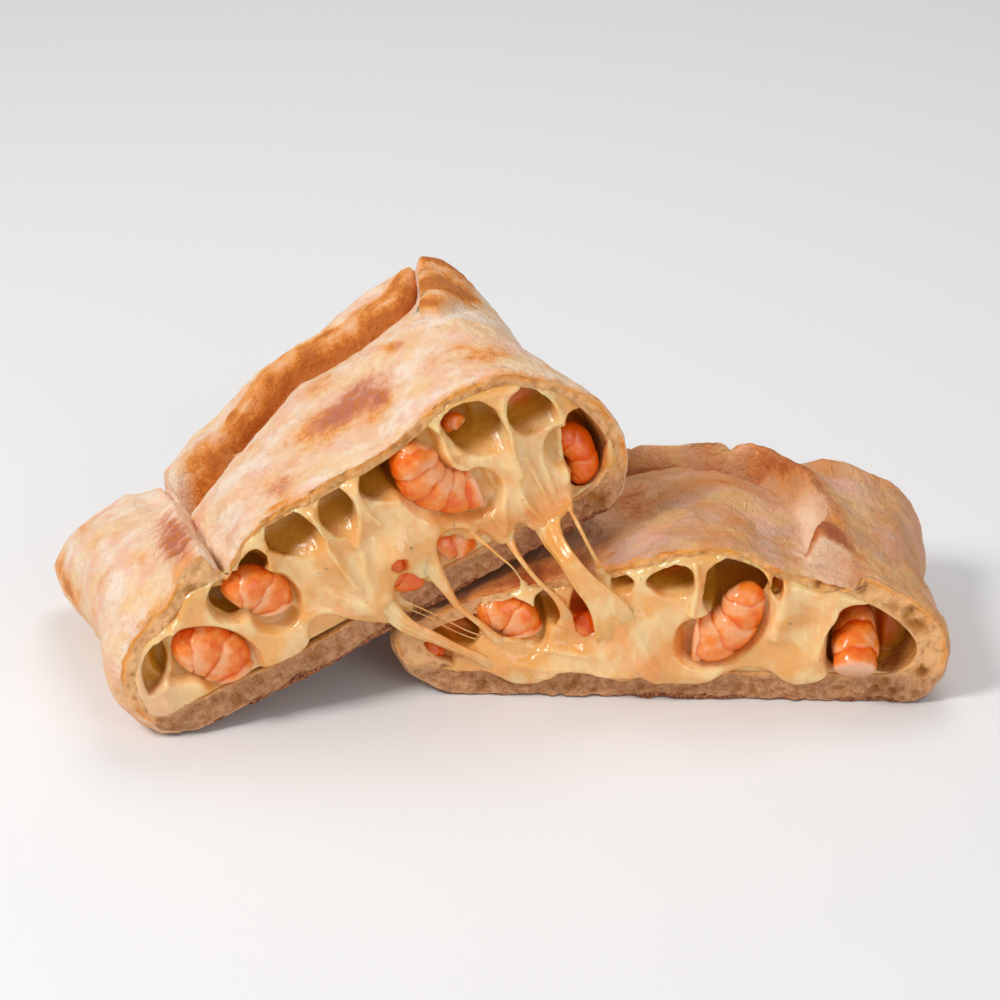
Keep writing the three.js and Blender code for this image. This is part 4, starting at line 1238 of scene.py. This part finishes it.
def shrimp_finish():
    """Cooked shrimp: pale pink flanks, orange along each segment's end and on the back, with
    fine red-orange veins, and white-pink flesh at a cut."""
    f = Finish("cooked_shrimp")
    pink, light_orange, deep_orange = (0.97, 0.44, 0.20), (0.94, 0.26, 0.03), (0.87, 0.12, 0.001)
    vein_red, pale_flesh = (0.88, 0.13, 0.005), (0.92, 0.56, 0.38)
    seam, within, back = f.attribute("seam"), f.attribute("within"), f.attribute("back")
    blot, fine = f.noise(5, 3), f.noise(1.0, 3)
    orange = f.between(back * 0.35 + (blot - 0.5) * 2.4 + within * 0.55 + f.attribute("rich") * 1.2,
                       -0.2, 1.1)
    colour = f.mix(f.between(orange, -0.05, 0.5), pink, light_orange)
    colour = f.mix(f.between(orange, 0.45, 1.0), colour, deep_orange)
    branch = f.noise(5, 3, distortion=2)
    vein = f.between(branch, 0.475, 0.5) * f.between(branch, 0.525, 0.5)
    line = f.ragged(seam, blot, 2, 0.4, 1)
    colour = f.mix((vein * 0.25 + line * 0.5).clip(), colour, vein_red)
    colour = f.mix(f.attribute("flesh") * 0.9, colour, pale_flesh)
    normal = f.bump(fine * 0.25 + blot * 0.75, 0.3)
    return f.surface(colour, 0.16 + fine * 0.1, normal, Subsurface_Weight=0.4,
                     Subsurface_Radius=(1.0, 0.4, 0.15), Subsurface_Scale=0.004,
                     Specular_IOR_Level=0.6)


def plain_finish(name, colour, roughness):
    """One colour all over."""
    return Finish(name).surface((*colour, 1), roughness, None)


# ---- the piece itself ----

LEFT.finish = dough_finish(
    "baked_dough_left", pale=(0.93, 0.75, 0.60), base=(0.89, 0.59, 0.38), golden=(0.84, 0.30, 0.045),
    brown=(0.58, 0.17, 0.025), blush=(0.80, 0.36, 0.22), burnt=(0.50, 0.15, 0.10))
RIGHT.finish = dough_finish(
    "baked_dough_right", pale=(0.68, 0.41, 0.29), base=(0.63, 0.32, 0.155), golden=(0.70, 0.26, 0.07),
    brown=(0.48, 0.13, 0.03), blush=(0.62, 0.22, 0.08), burnt=(0.45, 0.08, 0.012))
melted = cheese_finish()
cooked = shrimp_finish()
STEP = 0.6     # millimetres between the cheese's grid lines
for half in (LEFT, RIGHT):
    crust(half, ["crust_" + half.name], half.finish)
    cheese(half, STEP, melted, ["cheese_" + half.name])
    for number, shape in enumerate(half.shrimps, 1):
        shrimp(half, number, shape, cooked)
strands_piece([f"cheese_pull_{number}" for number in range(1, 7)], melted)

# ---- stage ----

low, high = CAD_BOX
middle = (low + high) / 2
STAGE_REACH, STAGE_GAP = 3.0, 0.0003          # metres: half the floor's width, its depth below
LENS, SENSOR = 103.68, 36                     # millimetres
ELEVATION, DISTANCE = 27, 0.8                 # degrees and metres
AIM_SHIFT = Vector((0.0032, -0.0156, 0.0017))  # metres, from the box's middle to what is looked at
WORLD_STRENGTH = 0.36
# name, place and width in metres, watts and colour
LIGHTS = [("key", (-0.75, -0.45, 0.95), 0.4, 9, (1, 0.98, 0.95)),
          ("fill", (0.7, -1.0, 0.5), 0.9, 3.6, (1, 1, 1)),
          ("top", (0.1, 0.5, 1.1), 0.7, 3.4, (1, 1, 1))]


def area_light(name, place, aim, size, power, colour):
    """A round soft light at a place, turned towards an aim."""
    lamp = bpy.data.lights.new(name, "AREA")
    lamp.shape, lamp.size, lamp.energy, lamp.color = "DISK", size, power, colour
    lamp_object = bpy.data.objects.new(name, lamp)
    lamp_object.location = place
    lamp_object.rotation_euler = (aim - Vector(place)).to_track_quat("-Z", "Y").to_euler()
    bpy.context.scene.collection.objects.link(lamp_object)


def stage():
    """A pale floor, soft lights and the camera."""
    floor_mesh = bpy.data.meshes.new("floor")
    corners = [(x * STAGE_REACH, y * STAGE_REACH, 0) for x, y in ((-1, -1), (1, -1), (1, 1), (-1, 1))]
    floor_mesh.from_pydata(corners, [], [(0, 1, 2, 3)])
    floor_mesh.materials.append(plain_finish("pale_floor", (0.86, 0.86, 0.87), 0.8))
    floor = bpy.data.objects.new("floor", floor_mesh)
    floor.location.z = low.z - STAGE_GAP
    bpy.context.scene.collection.objects.link(floor)

    for name, place, size, power, colour in LIGHTS:
        area_light(name, place, middle, size, power, colour)
    world = bpy.data.worlds.new("studio")
    world.use_nodes = True
    world.node_tree.nodes["Background"].inputs[0].default_value = (1, 1, 1, 1)
    world.node_tree.nodes["Background"].inputs[1].default_value = WORLD_STRENGTH
    bpy.context.scene.world = world
    bpy.context.scene.view_settings.view_transform = "Standard"

    aim = middle + AIM_SHIFT
    elevation = np.radians(ELEVATION)
    camera = bpy.data.cameras.new("camera")
    camera.lens, camera.sensor_width = LENS, SENSOR
    camera_object = bpy.data.objects.new("camera", camera)
    camera_object.location = aim + DISTANCE * Vector((0, -np.cos(elevation), np.sin(elevation)))
    camera_object.rotation_euler = (aim - camera_object.location).to_track_quat("-Z", "Y").to_euler()
    bpy.context.scene.collection.objects.link(camera_object)
    bpy.context.scene.camera = camera_object


stage()
